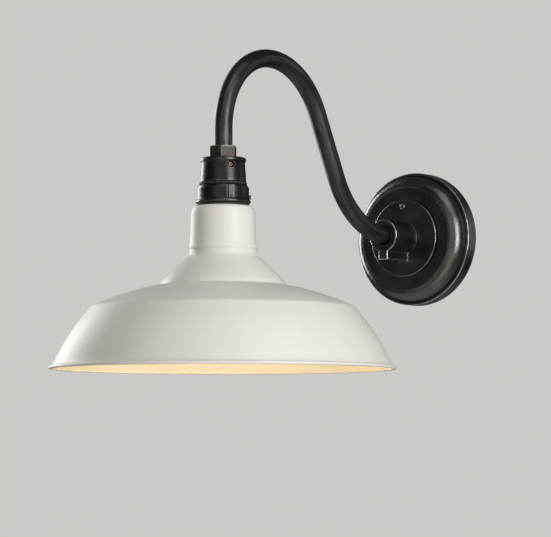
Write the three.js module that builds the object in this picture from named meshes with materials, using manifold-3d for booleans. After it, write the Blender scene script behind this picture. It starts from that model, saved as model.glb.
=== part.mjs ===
// Outdoor wall lantern: a gooseneck arm on a round cast wall plate, carrying a spun metal warehouse shade.
// Millimetres, +Z up. Origin: centre of the wall plate on the wall plane (Y = 0). The lantern reaches out along -Y.
import * as THREE from "three";
import { mergeVertices } from "three/addons/utils/BufferGeometryUtils.js";
import Module from "manifold-3d";

const wasm = await Module();
wasm.setup();

// ---------------------------------------------------------------- driving dimensions
const GAP = 0.3; // clearance kept between touching pieces

// arm
const TUBE_R = 9.6; // outside radius of the arm tube
const TUBE_BORE_R = 7.6;
const DROP_Y = -364.4; // axis of the drop leg and of the shade
const BEND_TOP_R1 = 82.7; // bend from the drop leg up to the top of the arch
const BEND_TOP_R2 = 91.3; // bend from the top of the arch down to the slope
const SLOPE_DEG = 62.5; // slope of the straight part
const SLOPE_LEN = 75.5;
const BEND_WALL_R = 107.6; // bend from the slope into the hub
const HUB_FACE = 76.2; // distance of the hub's front face from the wall
const TUBE_IN_HUB = 37.2; // distance of the tube's wall end from the wall
const TUBE_LOW_Z = 49; // lower end of the drop leg

// wall plate
const PLATE_R = 75.8;
const PLATE_RING_H = 16.5; // height of the base ring
const PLATE_H = 32.2; // height of the flat annulus
const PLATE_FLAT_R = 59.6;
const PLATE_WALL = 3;
const DISC_R = 44; // raised disc of the arm holder
const DISC_H = 35.4;
const HUB_R = 18.3;
const LUG_DEPTH = 27.2; // bottom of the lug below the hub axis
const LUG_HALF = 6;
const BORE_R = 9.9;
const SET_SCREW_H = 57; // distance of the hub's locking screw from the wall

// head, heights from the plane of the shade's rim
const RIM_Z = -156.4; // the rim plane in the part's frame
const RIM_R = 178.1;
const RIM_BEAD_R = 2.3;
const SHADE_T = 1.2;
const NECK_TOP = 166.6;
const COLLAR_Z0 = 169.1;
const COLLAR_Z1 = 188;
const CAP_Z0 = 191.2;
const CAP_Z1 = 216.5;
const NUT_Z0 = 216.8;
const NUT_Z1 = 228.9;
const RIB_AZ = 56.8; // bearing of the collar's rib, degrees from -Y towards +X
const CAP_SCREW_AZ = 59.5; // bearing of the cap's set screw
const CLAMP_AZ = 130; // bearing of the collar's lock screw
const NUT_AF = 25.4; // hexagon across flats
const NUT_TURN = 29.8; // bearing of one corner of the hexagon

const rad = (d) => (d * Math.PI) / 180;

// ---------------------------------------------------------------- solids
function solid(geometry) {
  const g = geometry.index ? geometry.toNonIndexed() : geometry.clone();
  g.deleteAttribute("normal");
  g.deleteAttribute("uv");
  const merged = mergeVertices(g, 1e-3);
  const triVerts = new Uint32Array(merged.index.array);
  const vertProperties = new Float32Array(merged.attributes.position.array);
  let made = new wasm.Manifold(new wasm.Mesh({ numProp: 3, vertProperties, triVerts }));
  if (made.volume() < 0) {
    for (let i = 0; i < triVerts.length; i += 3)
      [triVerts[i + 1], triVerts[i + 2]] = [triVerts[i + 2], triVerts[i + 1]];
    made = new wasm.Manifold(new wasm.Mesh({ numProp: 3, vertProperties, triVerts }));
  }
  return made;
}

function geometryOf(manifold) {
  const m = manifold.getMesh();
  const n = m.numProp;
  const positions = new Float32Array(m.triVerts.length * 3);
  for (let i = 0; i < m.triVerts.length; i++)
    positions.set(m.vertProperties.subarray(m.triVerts[i] * n, m.triVerts[i] * n + 3), i * 3);
  const g = new THREE.BufferGeometry();
  g.setAttribute("position", new THREE.BufferAttribute(positions, 3));
  g.computeVertexNormals();
  return g;
}

// A ring or turned body about Z from a profile of [radius, height]; a profile that leaves the axis is closed on itself.
function turned(profile, segments = 24) {
  const pts = profile.map(([r, z]) => new THREE.Vector2(r, z));
  const first = pts[0];
  const last = pts[pts.length - 1];
  if (first.x > 1e-6 || last.x > 1e-6) pts.push(first.clone());
  return solid(new THREE.LatheGeometry(pts, segments).rotateX(Math.PI / 2));
}

function placed(manifold, matrix) {
  return manifold.transform(Array.from(matrix.elements));
}
const moved = (m, x, y, z) => placed(m, new THREE.Matrix4().makeTranslation(x, y, z));
const turnedTo = (m, from, to) =>
  placed(
    m,
    new THREE.Matrix4().makeRotationFromQuaternion(
      new THREE.Quaternion().setFromUnitVectors(from, to.clone().normalize()),
    ),
  );
const Z = new THREE.Vector3(0, 0, 1);

const cylinder = (r, z0, z1, segments = 16) =>
  turned([[0, z0], [r, z0], [r, z1], [0, z1]], segments);

// A straight prism of a 2-D outline, from z0 to z1.
function prism(points, z0, z1) {
  const shape = new THREE.Shape(points.map(([x, y]) => new THREE.Vector2(x, y)));
  const g = new THREE.ExtrudeGeometry(shape, { depth: z1 - z0, bevelEnabled: false, steps: 1 });
  return moved(solid(g), 0, 0, z0);
}
const hexagon = (af, turn = 0) =>
  [0, 1, 2, 3, 4, 5].map((i) => {
    const a = rad(60 * i + turn);
    const c = af / 2 / Math.cos(Math.PI / 6);
    return [c * Math.cos(a), c * Math.sin(a)];
  });

// A round section swept along a curve, hollow when a bore is given.
function swept(curve, r, bore, sides, steps) {
  const ring = (rr) =>
    Array.from({ length: sides }, (_, i) => {
      const a = (2 * Math.PI * i) / sides;
      return new THREE.Vector2(rr * Math.cos(a), rr * Math.sin(a));
    });
  const shape = new THREE.Shape(ring(r));
  if (bore) shape.holes.push(new THREE.Path(ring(bore).reverse()));
  return solid(
    new THREE.ExtrudeGeometry(shape, { steps, extrudePath: curve, bevelEnabled: false }),
  );
}

// A wall of even thickness: the outer profile and, coming back, the same profile moved inwards.
function skin(outer, t, from = 0, to = outer.length) {
  const inner = outer.map(([r, z], i) => {
    const a = outer[Math.max(i - 1, 0)];
    const b = outer[Math.min(i + 1, outer.length - 1)];
    const d = Math.hypot(b[0] - a[0], b[1] - a[1]);
    return [r - (t * (b[1] - a[1])) / d, z + (t * (b[0] - a[0])) / d];
  });
  return [...outer.slice(from, to), ...inner.slice(from, to).reverse()];
}

// A machine screw about Z: head from 0 up, shank below; the drive recess is cut by the caller's tool.
function screw(headR, headH, shankR, shankL, driveAF, segments = 12) {
  const body = turned(
    [[0, -shankL], [shankR, -shankL], [shankR, 0], [headR, 0], [headR, headH * 0.6], [headR * 0.82, headH], [0, headH]],
    segments,
  );
  return body.subtract(prism(hexagon(driveAF), headH * 0.35, headH + 1));
}
// A grub screw about Z from z0 to z1, its socket in the z1 end.
function grub(r, z0, z1, driveAF, segments = 12) {
  return turned([[0, z0], [r * 0.6, z0], [r, z0 + r * 0.4], [r, z1], [0, z1]], segments).subtract(
    prism(hexagon(driveAF), z1 - 2.2, z1 + 1),
  );
}

// ---------------------------------------------------------------- finishes
const finish = (color, roughness, metalness, extra = {}) =>
  new THREE.MeshStandardMaterial({ color, roughness, metalness, ...extra });
const BLACKENED = () => finish(0x2c2b2a, 0.42, 0.85);
const NUT_STEEL = () => finish(0x6b6460, 0.5, 0.9);
const WHITE_COAT = () => finish(0xdedbd3, 0.5, 0.05);
const ZINC = () => finish(0x9a9c9e, 0.45, 0.9);
const BRASS = () => finish(0xb8934a, 0.4, 0.9);
const RUBBER = () => finish(0x161616, 0.85, 0.0);
const PORCELAIN = () => finish(0xe9e5dc, 0.3, 0.0);
const LEAD = (c) => finish(c, 0.6, 0.0);
const GLASS = () => finish(0xfff2dc, 0.35, 0.0, { transparent: true, opacity: 0.8 });

const root = new THREE.Group();
const wallMount = new THREE.Group(); // its +Z points out of the wall
wallMount.rotation.x = Math.PI / 2;
const arm = new THREE.Group();
const head = new THREE.Group();
head.position.set(0, DROP_Y, RIM_Z);
const bulb = new THREE.Group();
head.add(bulb);
root.add(wallMount, arm, head);

function add(group, name, manifold, material) {
  const mesh = new THREE.Mesh(geometryOf(manifold), material);
  mesh.name = name;
  group.add(mesh);
  return mesh;
}

// ---------------------------------------------------------------- wall side
// local x = X, local y = Z of the part, local z = distance from the wall
const bearing = (deg) => new THREE.Vector3(Math.cos(rad(deg)), Math.sin(rad(deg)), 0);

{
  // shallow pressed pan screwed to the wall box; the plate slips over it
  let pan = turned([[0, 0], [70, 0], [70, 10.5], [68.3, 10.5], [68.3, 2], [0, 2]], 32);
  pan = pan
    .subtract(moved(cylinder(9, -1, 3, 16), 0, 27, 0))
    .subtract(moved(cylinder(2.2, -1, 3, 12), -42, 0, 0))
    .subtract(moved(cylinder(2.2, -1, 3, 12), 42, 0, 0))
    .subtract(moved(cylinder(2.2, -1, 3, 12), -22, -34, 0));
  add(wallMount, "mounting_pan", pan, ZINC());
  add(wallMount, "wall_gasket", turned([[70.8, 0], [75.4, 0], [75.4, 1.6], [70.8, 1.6]], 28), RUBBER());
}

const RING_SCREW_H = 7.4;
const RING_SCREW_AT = [-27.2, 92.8, 212.8];
{
  // stepped round wall plate: base ring, groove, rounded bead and flat annulus, open behind
  const ringTop = PLATE_RING_H;
  const bead = [];
  for (let i = 0; i <= 6; i++) {
    const a = rad(4 + (i * 82) / 6);
    bead.push([PLATE_FLAT_R - 1.6 + 14.2 * Math.cos(a), ringTop - 0.6 + (PLATE_H - ringTop + 0.6) * Math.sin(a)]);
  }
  const outer = [
    [PLATE_R, 1.9], [PLATE_R, ringTop - 1.2], [PLATE_R - 1.1, ringTop], [PLATE_R - 2.4, ringTop],
    [PLATE_R - 3.2, ringTop - 1.6],
    ...bead, [PLATE_FLAT_R - 0.4, PLATE_H], [14, PLATE_H],
  ];
  const innerBead = [];
  for (let i = 3; i >= 0; i--) {
    const a = rad((i * 86) / 3);
    innerBead.push([PLATE_FLAT_R - 1.6 + 10.6 * Math.cos(a), ringTop - 3 + (PLATE_H - ringTop) * Math.sin(a)]);
  }
  const inner = [[14, PLATE_H - PLATE_WALL], ...innerBead, [PLATE_R - 3.6, ringTop - 5], [PLATE_R - 3.6, 1.9]];
  let plate = turned([...outer, ...inner], 40);
  for (const deg of RING_SCREW_AT)
    plate = plate.subtract(moved(turnedTo(cylinder(2.3, 66, 80, 12), Z, bearing(deg)), 0, 0, RING_SCREW_H));
  plate = plate.subtract(moved(cylinder(2.0, 22, 36, 12), 0, 36, 0));
  add(wallMount, "backplate", plate, BLACKENED());
  RING_SCREW_AT.forEach((deg, i) =>
    add(
      wallMount,
      "ring_set_screw_" + (i + 1),
      moved(turnedTo(grub(2.0, 70.3, 75.2, 1.8), Z, bearing(deg)), 0, 0, RING_SCREW_H),
      BLACKENED(),
    ),
  );
}

{
  // arm holder: raised disc, keyhole-shaped hub with a lug for the locking screw, threaded spigot behind
  const keyhole = [];
  const joinA = 38; // half angle at the bottom of the circle where the lug's fillet starts
  for (let i = 0; i <= 20; i++) {
    const a = rad(-90 + joinA + (i * (360 - 2 * joinA)) / 20);
    keyhole.push([HUB_R * Math.cos(a), HUB_R * Math.sin(a)]);
  }
  keyhole.push([-LUG_HALF - 2.6, -16.6], [-LUG_HALF - 0.9, -19.2], [-LUG_HALF, -22.5], [-LUG_HALF, -LUG_DEPTH]);
  keyhole.push([LUG_HALF, -LUG_DEPTH], [LUG_HALF, -22.5], [LUG_HALF + 0.9, -19.2], [LUG_HALF + 2.6, -16.6]);
  let holder = turned(
    [[0, 17.2], [12.8, 17.2], [12.8, PLATE_H + GAP], [DISC_R, PLATE_H + GAP], [DISC_R, DISC_H - 0.8], [DISC_R - 0.8, DISC_H], [0, DISC_H]],
    40,
  ).add(prism(keyhole, DISC_H - 1, HUB_FACE));
  holder = holder
    .subtract(cylinder(7, 12, 42, 20))
    .subtract(cylinder(BORE_R, TUBE_IN_HUB - GAP, 90, 32))
    .subtract(turned([[0, HUB_FACE - 4], [BORE_R, HUB_FACE - 4], [15.2, HUB_FACE + 0.5], [15.2, 90], [0, 90]], 32))
    .subtract(moved(turnedTo(cylinder(3.3, 0, 40, 12), Z, new THREE.Vector3(0, -1, 0)), 0, 0, SET_SCREW_H))
    .subtract(moved(cylinder(2.0, 26, 42, 12), 0, 36, 0));
  add(wallMount, "arm_holder", holder, BLACKENED());
  add(wallMount, "holder_washer", turned([[13.2, 27.4], [20.5, 27.4], [20.5, 28.9], [13.2, 28.9]], 24), ZINC());
  add(
    wallMount,
    "holder_locknut",
    prism(hexagon(36), 19.7, 27.1).subtract(cylinder(13.2, 15, 32, 24)),
    ZINC(),
  );
  add(wallMount, "holder_lock_screw", moved(screw(3.3, 2.2, 1.6, 9, 2.6), 0, 36, DISC_H + GAP), BLACKENED());
  add(
    wallMount,
    "arm_set_screw",
    moved(turnedTo(grub(2.9, 10.1, 26.4, 2.6), Z, new THREE.Vector3(0, -1, 0)), 0, 0, SET_SCREW_H),
    BLACKENED(),
  );
}

add(wallMount, "box_screw_1", moved(screw(4, 2.6, 1.9, 2, 2.4), -42, 0, 2 + GAP), ZINC());
add(wallMount, "box_screw_2", moved(screw(4, 2.6, 1.9, 2, 2.4), 42, 0, 2 + GAP), ZINC());
add(wallMount, "ground_screw", moved(screw(4, 2.6, 1.9, 2, 2.4), -22, -34, 2 + GAP), finish(0x2f7a3d, 0.4, 0.7));

// wire connectors, mouths downwards
const NUT_CUP = [[0, 0], [6.5, 0], [6.5, 6], [4.6, 20], [3.2, 21.5], [0, 21.5]];
const wireNut = () =>
  turned(NUT_CUP, 12)
    .subtract(cylinder(4.0, -1, 9, 12))
    .rotate([-90, 0, 0]);
add(wallMount, "wire_nut_black", moved(wireNut(), -43, 14, 15.5), finish(0xc8742a, 0.5, 0));
add(wallMount, "wire_nut_white", moved(wireNut(), 43, 14, 15.5), finish(0xc8742a, 0.5, 0));

const LEAD_R = 1.15;
const lead = (points, steps, r = LEAD_R) =>
  swept(
    new THREE.CatmullRomCurve3(points.map((p) => new THREE.Vector3(...p)), false, "centripetal"),
    r,
    0,
    6,
    steps,
  );
add(
  wallMount,
  "lead_black_wall",
  lead([[-3, 0, 36.5], [-3, 0, 27.2], [-3.4, 0, 17.2], [-9, -6, 12.2], [-22, -16, 12], [-35, -16, 13.2], [-42, -6, 15], [-43, 2, 15.5], [-43, 19.3, 15.5]], 16),
  LEAD(0x1b1b1b),
);
add(
  wallMount,
  "lead_white_wall",
  lead([[3, 0, 36.5], [3, 0, 27.2], [3.4, 0, 17.2], [9, -6, 12.2], [22, -16, 12], [35, -16, 13.2], [42, -6, 15], [43, 2, 15.5], [43, 19.3, 15.5]], 16),
  LEAD(0xe6e3da),
);
add(
  wallMount,
  "ground_lead",
  lead([[0, -4.4, 33.2], [0, -4.4, 25.2], [-0.5, -6, 16.2], [-4, -14, 11], [-12, -26, 9.4], [-20, -36, 8.4], [-22, -38.6, 6.6]], 10),
  LEAD(0x2e7a3a),
);

// ---------------------------------------------------------------- arm
// Planar run in the X = 0 plane: up the drop leg, over the arch, down the slope, and level into the hub.
class ArmCurve extends THREE.Curve {
  constructor(offsetX, endY, startZ) {
    super();
    this.x = offsetX;
    const phi = rad(SLOPE_DEG);
    const drop =
      BEND_TOP_R1 - BEND_TOP_R2 + BEND_TOP_R2 * Math.cos(phi) - SLOPE_LEN * Math.sin(phi) - BEND_WALL_R * (1 - Math.cos(phi));
    this.bendZ = -drop; // height where the drop leg starts to bend, so that the run ends at Z = 0
    const bendEndY =
      DROP_Y + BEND_TOP_R1 + BEND_TOP_R2 * Math.sin(phi) + SLOPE_LEN * Math.cos(phi) + BEND_WALL_R * Math.sin(phi);
    this.startZ = startZ;
    this.parts = [
      { len: this.bendZ - startZ, at: (s) => [DROP_Y, startZ + s] },
      {
        len: (BEND_TOP_R1 * Math.PI) / 2,
        at: (s) => {
          const a = s / BEND_TOP_R1;
          return [DROP_Y + BEND_TOP_R1 * (1 - Math.cos(a)), this.bendZ + BEND_TOP_R1 * Math.sin(a)];
        },
      },
      {
        len: BEND_TOP_R2 * phi,
        at: (s) => {
          const a = s / BEND_TOP_R2;
          return [
            DROP_Y + BEND_TOP_R1 + BEND_TOP_R2 * Math.sin(a),
            this.bendZ + BEND_TOP_R1 - BEND_TOP_R2 * (1 - Math.cos(a)),
          ];
        },
      },
      {
        len: SLOPE_LEN,
        at: (s) => [
          DROP_Y + BEND_TOP_R1 + BEND_TOP_R2 * Math.sin(phi) + s * Math.cos(phi),
          this.bendZ + BEND_TOP_R1 - BEND_TOP_R2 * (1 - Math.cos(phi)) - s * Math.sin(phi),
        ],
      },
      {
        len: BEND_WALL_R * phi,
        at: (s) => {
          const a = phi - s / BEND_WALL_R;
          return [bendEndY - BEND_WALL_R * Math.sin(a), BEND_WALL_R * (1 - Math.cos(a))];
        },
      },
      { len: endY - bendEndY, at: (s) => [bendEndY + s, 0] },
    ];
    this.total = this.parts.reduce((n, p) => n + p.len, 0);
  }
  getPoint(t, target = new THREE.Vector3()) {
    let s = t * this.total;
    for (const p of this.parts) {
      if (s <= p.len || p === this.parts[this.parts.length - 1]) {
        const [y, z] = p.at(s);
        return target.set(this.x, y, z);
      }
      s -= p.len;
    }
    return target;
  }
}
add(arm, "gooseneck_tube", swept(new ArmCurve(0, -TUBE_IN_HUB, TUBE_LOW_Z), TUBE_R, TUBE_BORE_R, 12, 44), BLACKENED());
add(arm, "lead_black_arm", swept(new ArmCurve(-3, -TUBE_IN_HUB, TUBE_LOW_Z), LEAD_R, 0, 6, 30), LEAD(0x1b1b1b));
add(arm, "lead_white_arm", swept(new ArmCurve(3, -TUBE_IN_HUB, TUBE_LOW_Z), LEAD_R, 0, 6, 30), LEAD(0xe6e3da));
{
  // corners lightly turned down, as on a machined lock nut
  const nut = prism(hexagon(NUT_AF, NUT_TURN - 90), NUT_Z0, NUT_Z1)
    .intersect(
      turned(
        [[0, NUT_Z0], [13.6, NUT_Z0], [14.9, NUT_Z0 + 1.0], [14.9, NUT_Z1 - 1.0], [13.6, NUT_Z1], [0, NUT_Z1]],
        36,
      ),
    )
    .subtract(cylinder(BORE_R, NUT_Z0 - 2, NUT_Z1 + 2, 24));
  const mesh = add(arm, "hex_lock_nut", nut, NUT_STEEL());
  mesh.position.set(0, DROP_Y, RIM_Z);
}

// ---------------------------------------------------------------- head
// local frame: origin on the shade's axis in the plane of the rim
const sideways = (deg) => new THREE.Vector3(Math.sin(rad(deg)), -Math.cos(rad(deg)), 0);

{
  // spun shade: rolled rim, curved skirt, low dome, bell and neck
  const outer = [
    [175.6, 0.6], [168.5, 14.1], [159.4, 30.5], [148.4, 46.9], [138.4, 59.2], [135.6, 62.4], [130.6, 65.1], [114.7, 71.5],
    [95, 78.5], [76, 83.6], [65.2, 84.9], [61.8, 90], [50.6, 102.3], [36.6, 114.4], [34.6, 118.5], [35.2, 123.8],
    [34, 130], [33.0, 160.0], [31.4, 164.9], [28.6, NECK_TOP], [21.6, NECK_TOP],
  ];
  const bead = [];
  for (let i = 0; i < 8; i++) {
    const a = (2 * Math.PI * i) / 8;
    bead.push([RIM_R - RIM_BEAD_R + RIM_BEAD_R * Math.cos(a), RIM_BEAD_R * Math.sin(a)]);
  }
  const shade = turned(skin(outer, SHADE_T), 40).add(turned(bead, 40));
  add(head, "shade", shade, WHITE_COAT());
}

add(head, "neck_gasket", turned([[21.2, 166.9], [27, 166.9], [27, 168.8], [21.2, 168.8]], 28), RUBBER());

{
  // locking collar: rolled lower edge, one raised rib between two grooves
  let collar = turned(
    [
      [21.2, COLLAR_Z0], [27.2, COLLAR_Z0], [28.2, COLLAR_Z0 + 0.9], [28.4, COLLAR_Z0 + 2.2], [27.9, COLLAR_Z0 + 3.6],
      [26.8, COLLAR_Z0 + 4.8], [26.7, COLLAR_Z1 - 4], [26.2, COLLAR_Z1 - 1.6], [24.9, COLLAR_Z1], [21.2, COLLAR_Z1],
    ],
    32,
  );
  const across = sideways(RIB_AZ + 90);
  const out = sideways(RIB_AZ);
  const block = (w, r0, r1, z0, z1) => {
    const c = [[-w, r0], [w, r0], [w, r1], [-w, r1]].map(([u, v]) => [
      u * across.x + v * out.x,
      u * across.y + v * out.y,
    ]);
    return prism(c, z0, z1);
  };
  collar = collar
    .subtract(block(4.4, 25.5, 30, COLLAR_Z0 + 4.6, COLLAR_Z1 - 1.2))
    .add(block(3.1, 22, 26.9, COLLAR_Z0 + 3, COLLAR_Z1 - 1.2));
  collar = collar.subtract(moved(turnedTo(cylinder(1.9, 15, 32, 12), Z, sideways(CLAMP_AZ)), 0, 0, 176));
  add(head, "collar", collar, BLACKENED());
  add(
    head,
    "collar_lock_screw",
    moved(turnedTo(moved(screw(2.5, 1.6, 1.6, 5.3, 1.8, 12), 0, 0, 27.1), Z, sideways(CLAMP_AZ)), 0, 0, 176),
    BLACKENED(),
  );
}

add(head, "cap_gasket", turned([[21.2, 188.3], [24.6, 188.3], [24.6, 190.9], [21.2, 190.9]], 28), RUBBER());

{
  // socket cap: tapered cup with a bead at the top, bored for the tube and cross-drilled for its set screw
  let cap = turned(
    [
      [21, CAP_Z0], [23.9, CAP_Z0], [23.8, CAP_Z0 + 1], [22.6, 210.8], [22.7, 212], [23.4, 212.8], [23.6, 214.2], [23.3, 215.6],
      [22.4, CAP_Z1], [BORE_R, CAP_Z1], [BORE_R, 203.4], [21, 203.4],
    ],
    32,
  );
  cap = cap.subtract(moved(turnedTo(cylinder(3.4, 5, 30, 16), Z, sideways(CAP_SCREW_AZ)), 0, 0, 208.2));
  add(head, "socket_cap", cap, BLACKENED());
  add(
    head,
    "cap_set_screw",
    moved(turnedTo(grub(3.05, 10.3, 21.4, 3.0, 14), Z, sideways(CAP_SCREW_AZ)), 0, 0, 208.2),
    BRASS(),
  );
}

{
  // porcelain lampholder: flange under the neck, screw-shell cavity below, wiring chamber above
  let body = turned(
    [
      [0, 141], [18.6, 141], [19.5, 142], [19.5, 161.1], [27, 161.1], [27, 165.0], [20.6, 165.0], [20.6, 202.4],
      [19.8, 203], [0, 203],
    ],
    28,
  );
  body = body
    .subtract(cylinder(14.7, 130, 179, 24))
    .subtract(cylinder(13.4, 185, 210, 24))
    .subtract(cylinder(1.6, 170, 190, 10))
    .subtract(moved(cylinder(1.6, 170, 190, 10), 11, 0, 0));
  add(head, "lampholder_body", body, PORCELAIN());
  add(
    head,
    "screw_shell",
    turned([[13.8, 145], [14.35, 145], [14.35, 177.6], [9, 177.6], [9, 177.0], [13.8, 177.0]], 20),
    BRASS(),
  );
  add(
    head,
    "centre_contact",
    turned([[0, 176.4], [4.6, 176.4], [4.6, 178.4], [1.3, 178.4], [1.3, 187.4], [0, 187.4]], 12),
    BRASS(),
  );
  add(
    head,
    "shell_rivet",
    moved(turned([[0, 178], [1.3, 178], [1.3, 185.3], [2.2, 185.3], [2.2, 186.9], [0, 187.3]], 10), 11, 0, 0),
    BRASS(),
  );
  add(head, "lead_black_head", lead([[-3, 0, 204.1], [-3, 0, 200], [-2.4, 0, 194], [-0.4, 0, 190], [0, 0, 187.8]], 8), LEAD(0x1b1b1b));
  add(head, "lead_white_head", lead([[3, 0, 204.1], [3.2, 0, 200], [6, 0, 195], [10.4, 0, 191], [11, 0, 187.8]], 8), LEAD(0xe6e3da));
}

// ---------------------------------------------------------------- lamp
{
  const thread = [];
  for (let i = 0; i < 5; i++) thread.push([13.2, 151.5 + i * 3.9], [12.8, 153.4 + i * 3.9]);
  add(
    bulb,
    "bulb_base",
    turned([[12.5, 149], [12.9, 149], ...thread, [13.1, 171.4], [11.6, 173], [10.2, 173], [12.5, 170.5]], 16),
    ZINC(),
  );
  add(bulb, "bulb_insulator", turned([[0, 171], [9.8, 171], [9.8, 173.3], [5.6, 175.3], [0, 175.3]], 16), finish(0x141416, 0.25, 0));
  add(bulb, "bulb_eyelet", turned([[0, 175.5], [4.2, 175.5], [3.4, 176.1], [0, 176.1]], 12), ZINC());
  const glass = [
    [12.1, 156], [12.1, 147], [16.6, 130], [21.6, 119], [28.4, 103], [30.1, 93], [27.6, 81],
    [19.6, 71], [9, 66.3], [0, 65.5],
  ];
  const insideGlass = [
    [0, 66.7], [8.6, 67.5], [18.8, 72], [26.4, 81.5], [28.9, 93], [27.2, 102.6],
    [20.5, 118.5], [15.5, 129.5], [10.9, 147.4], [10.9, 156],
  ];
  add(bulb, "bulb_glass", turned([...glass, ...insideGlass, [12.1, 156]], 20), GLASS());
  add(
    bulb,
    "bulb_stem",
    turned([[0, 116], [2.2, 116], [2.2, 134], [4, 145], [10.3, 154], [10.3, 155.6], [0, 155.6]], 12),
    finish(0xdfe6e6, 0.1, 0),
  );
  add(
    bulb,
    "bulb_filament",
    lead([[-2.9, 0, 128], [-6, 0, 116], [-10, 0, 105], [-5, 4, 101.5], [0, 5.4, 103], [5, 4, 101.5], [10, 0, 105], [6, 0, 116], [2.9, 0, 128]], 14, 0.5),
    finish(0xc9b27a, 0.4, 0.6),
  );
}

export default root;
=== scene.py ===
import math

import bpy
from mathutils import Matrix, Quaternion, Vector


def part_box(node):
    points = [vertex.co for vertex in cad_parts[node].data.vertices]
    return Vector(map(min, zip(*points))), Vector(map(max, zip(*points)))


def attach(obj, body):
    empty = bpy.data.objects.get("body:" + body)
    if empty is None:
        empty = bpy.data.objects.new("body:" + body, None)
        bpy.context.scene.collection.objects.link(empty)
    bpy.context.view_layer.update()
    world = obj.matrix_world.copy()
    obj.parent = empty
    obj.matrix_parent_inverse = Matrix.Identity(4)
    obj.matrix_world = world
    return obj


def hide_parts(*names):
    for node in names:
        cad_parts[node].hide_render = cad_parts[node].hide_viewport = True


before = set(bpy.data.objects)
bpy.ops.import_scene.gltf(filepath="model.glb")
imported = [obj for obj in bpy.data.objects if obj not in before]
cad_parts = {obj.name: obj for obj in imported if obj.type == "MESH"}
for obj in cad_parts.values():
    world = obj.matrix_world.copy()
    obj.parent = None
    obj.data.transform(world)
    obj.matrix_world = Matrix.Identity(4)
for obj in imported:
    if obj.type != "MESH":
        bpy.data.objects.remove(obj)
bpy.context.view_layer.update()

MM = 0.001
PI = math.pi
rad = math.radians

# ------------------------------------------------------------------ where things are, from the frame
_lo, _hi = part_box("shade")
RIM_BEAD_R = 2.3
HEAD = Matrix.Translation(((_lo.x + _hi.x) / 2, (_lo.y + _hi.y) / 2, _lo.z + RIM_BEAD_R * MM))
# local x -> X, local y -> Z, local z -> -Y: distances from the wall
WALL = Matrix(((1, 0, 0, 0), (0, 0, -1, 0), (0, 1, 0, 0), (0, 0, 0, 1)))
DROP_Y = HEAD.translation.y / MM
RIM_Z = HEAD.translation.z / MM
IDENT = Matrix.Identity(4)


def turn_to(direction):
    """Rotation that takes +Z to a direction."""
    return Vector((0, 0, 1)).rotation_difference(Vector(direction).normalized()).to_matrix().to_4x4()


def shift(x, y, z):
    return Matrix.Translation((x * MM, y * MM, z * MM))


def head_dir(deg):
    return Vector((math.sin(rad(deg)), -math.cos(rad(deg)), 0))


# ------------------------------------------------------------------ mesh code
def build(name, verts, faces, matrix, mats, wear_and_painted_light=None, flow=None, face_mat=None, sharp=34):
    """verts in millimetres in a local frame; wear and flow are stored as attributes of each vertex."""
    me = bpy.data.meshes.new(name)
    me.from_pydata([matrix @ (Vector(v) * MM) for v in verts], [], faces)
    me.validate(clean_customdata=False)
    # the mask holds rubbed wear on edges, painted shade in the shade's creases, and a painted highlight on the holder
    # lug
    if wear_and_painted_light is not None:
        a = me.attributes.new("wear_and_painted_light", "FLOAT", "POINT")
        a.data.foreach_set("value", wear_and_painted_light)
    if flow is not None:
        a = me.attributes.new("flow", "FLOAT_VECTOR", "POINT")
        a.data.foreach_set("vector", [c * MM for f in flow for c in f])
    ob = bpy.data.objects.new(name, me)
    bpy.context.scene.collection.objects.link(ob)
    for m in mats if isinstance(mats, (list, tuple)) else [mats]:
        me.materials.append(m)
    if face_mat is not None:
        me.polygons.foreach_set("material_index", face_mat)
    soften(me, sharp)
    return ob


def soften(me, sharp=34):
    """Smooth shading, with the edges sharper than an angle kept crisp."""
    me.polygons.foreach_set("use_smooth", [True] * len(me.polygons))
    me.update()
    normals = [p.normal.copy() for p in me.polygons]
    owner = {}
    for p in me.polygons:
        for k in p.edge_keys:
            owner.setdefault(k, []).append(p.index)
    limit = math.cos(rad(sharp))
    flags = []
    for e in me.edges:
        k = tuple(sorted(e.vertices))
        fs = owner.get(k, [])
        flags.append(len(fs) == 2 and normals[fs[0]].dot(normals[fs[1]]) < limit)
    a = me.attributes.get("sharp_edge") or me.attributes.new("sharp_edge", "BOOLEAN", "EDGE")
    a.data.foreach_set("value", flags)
    me.update()


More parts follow.
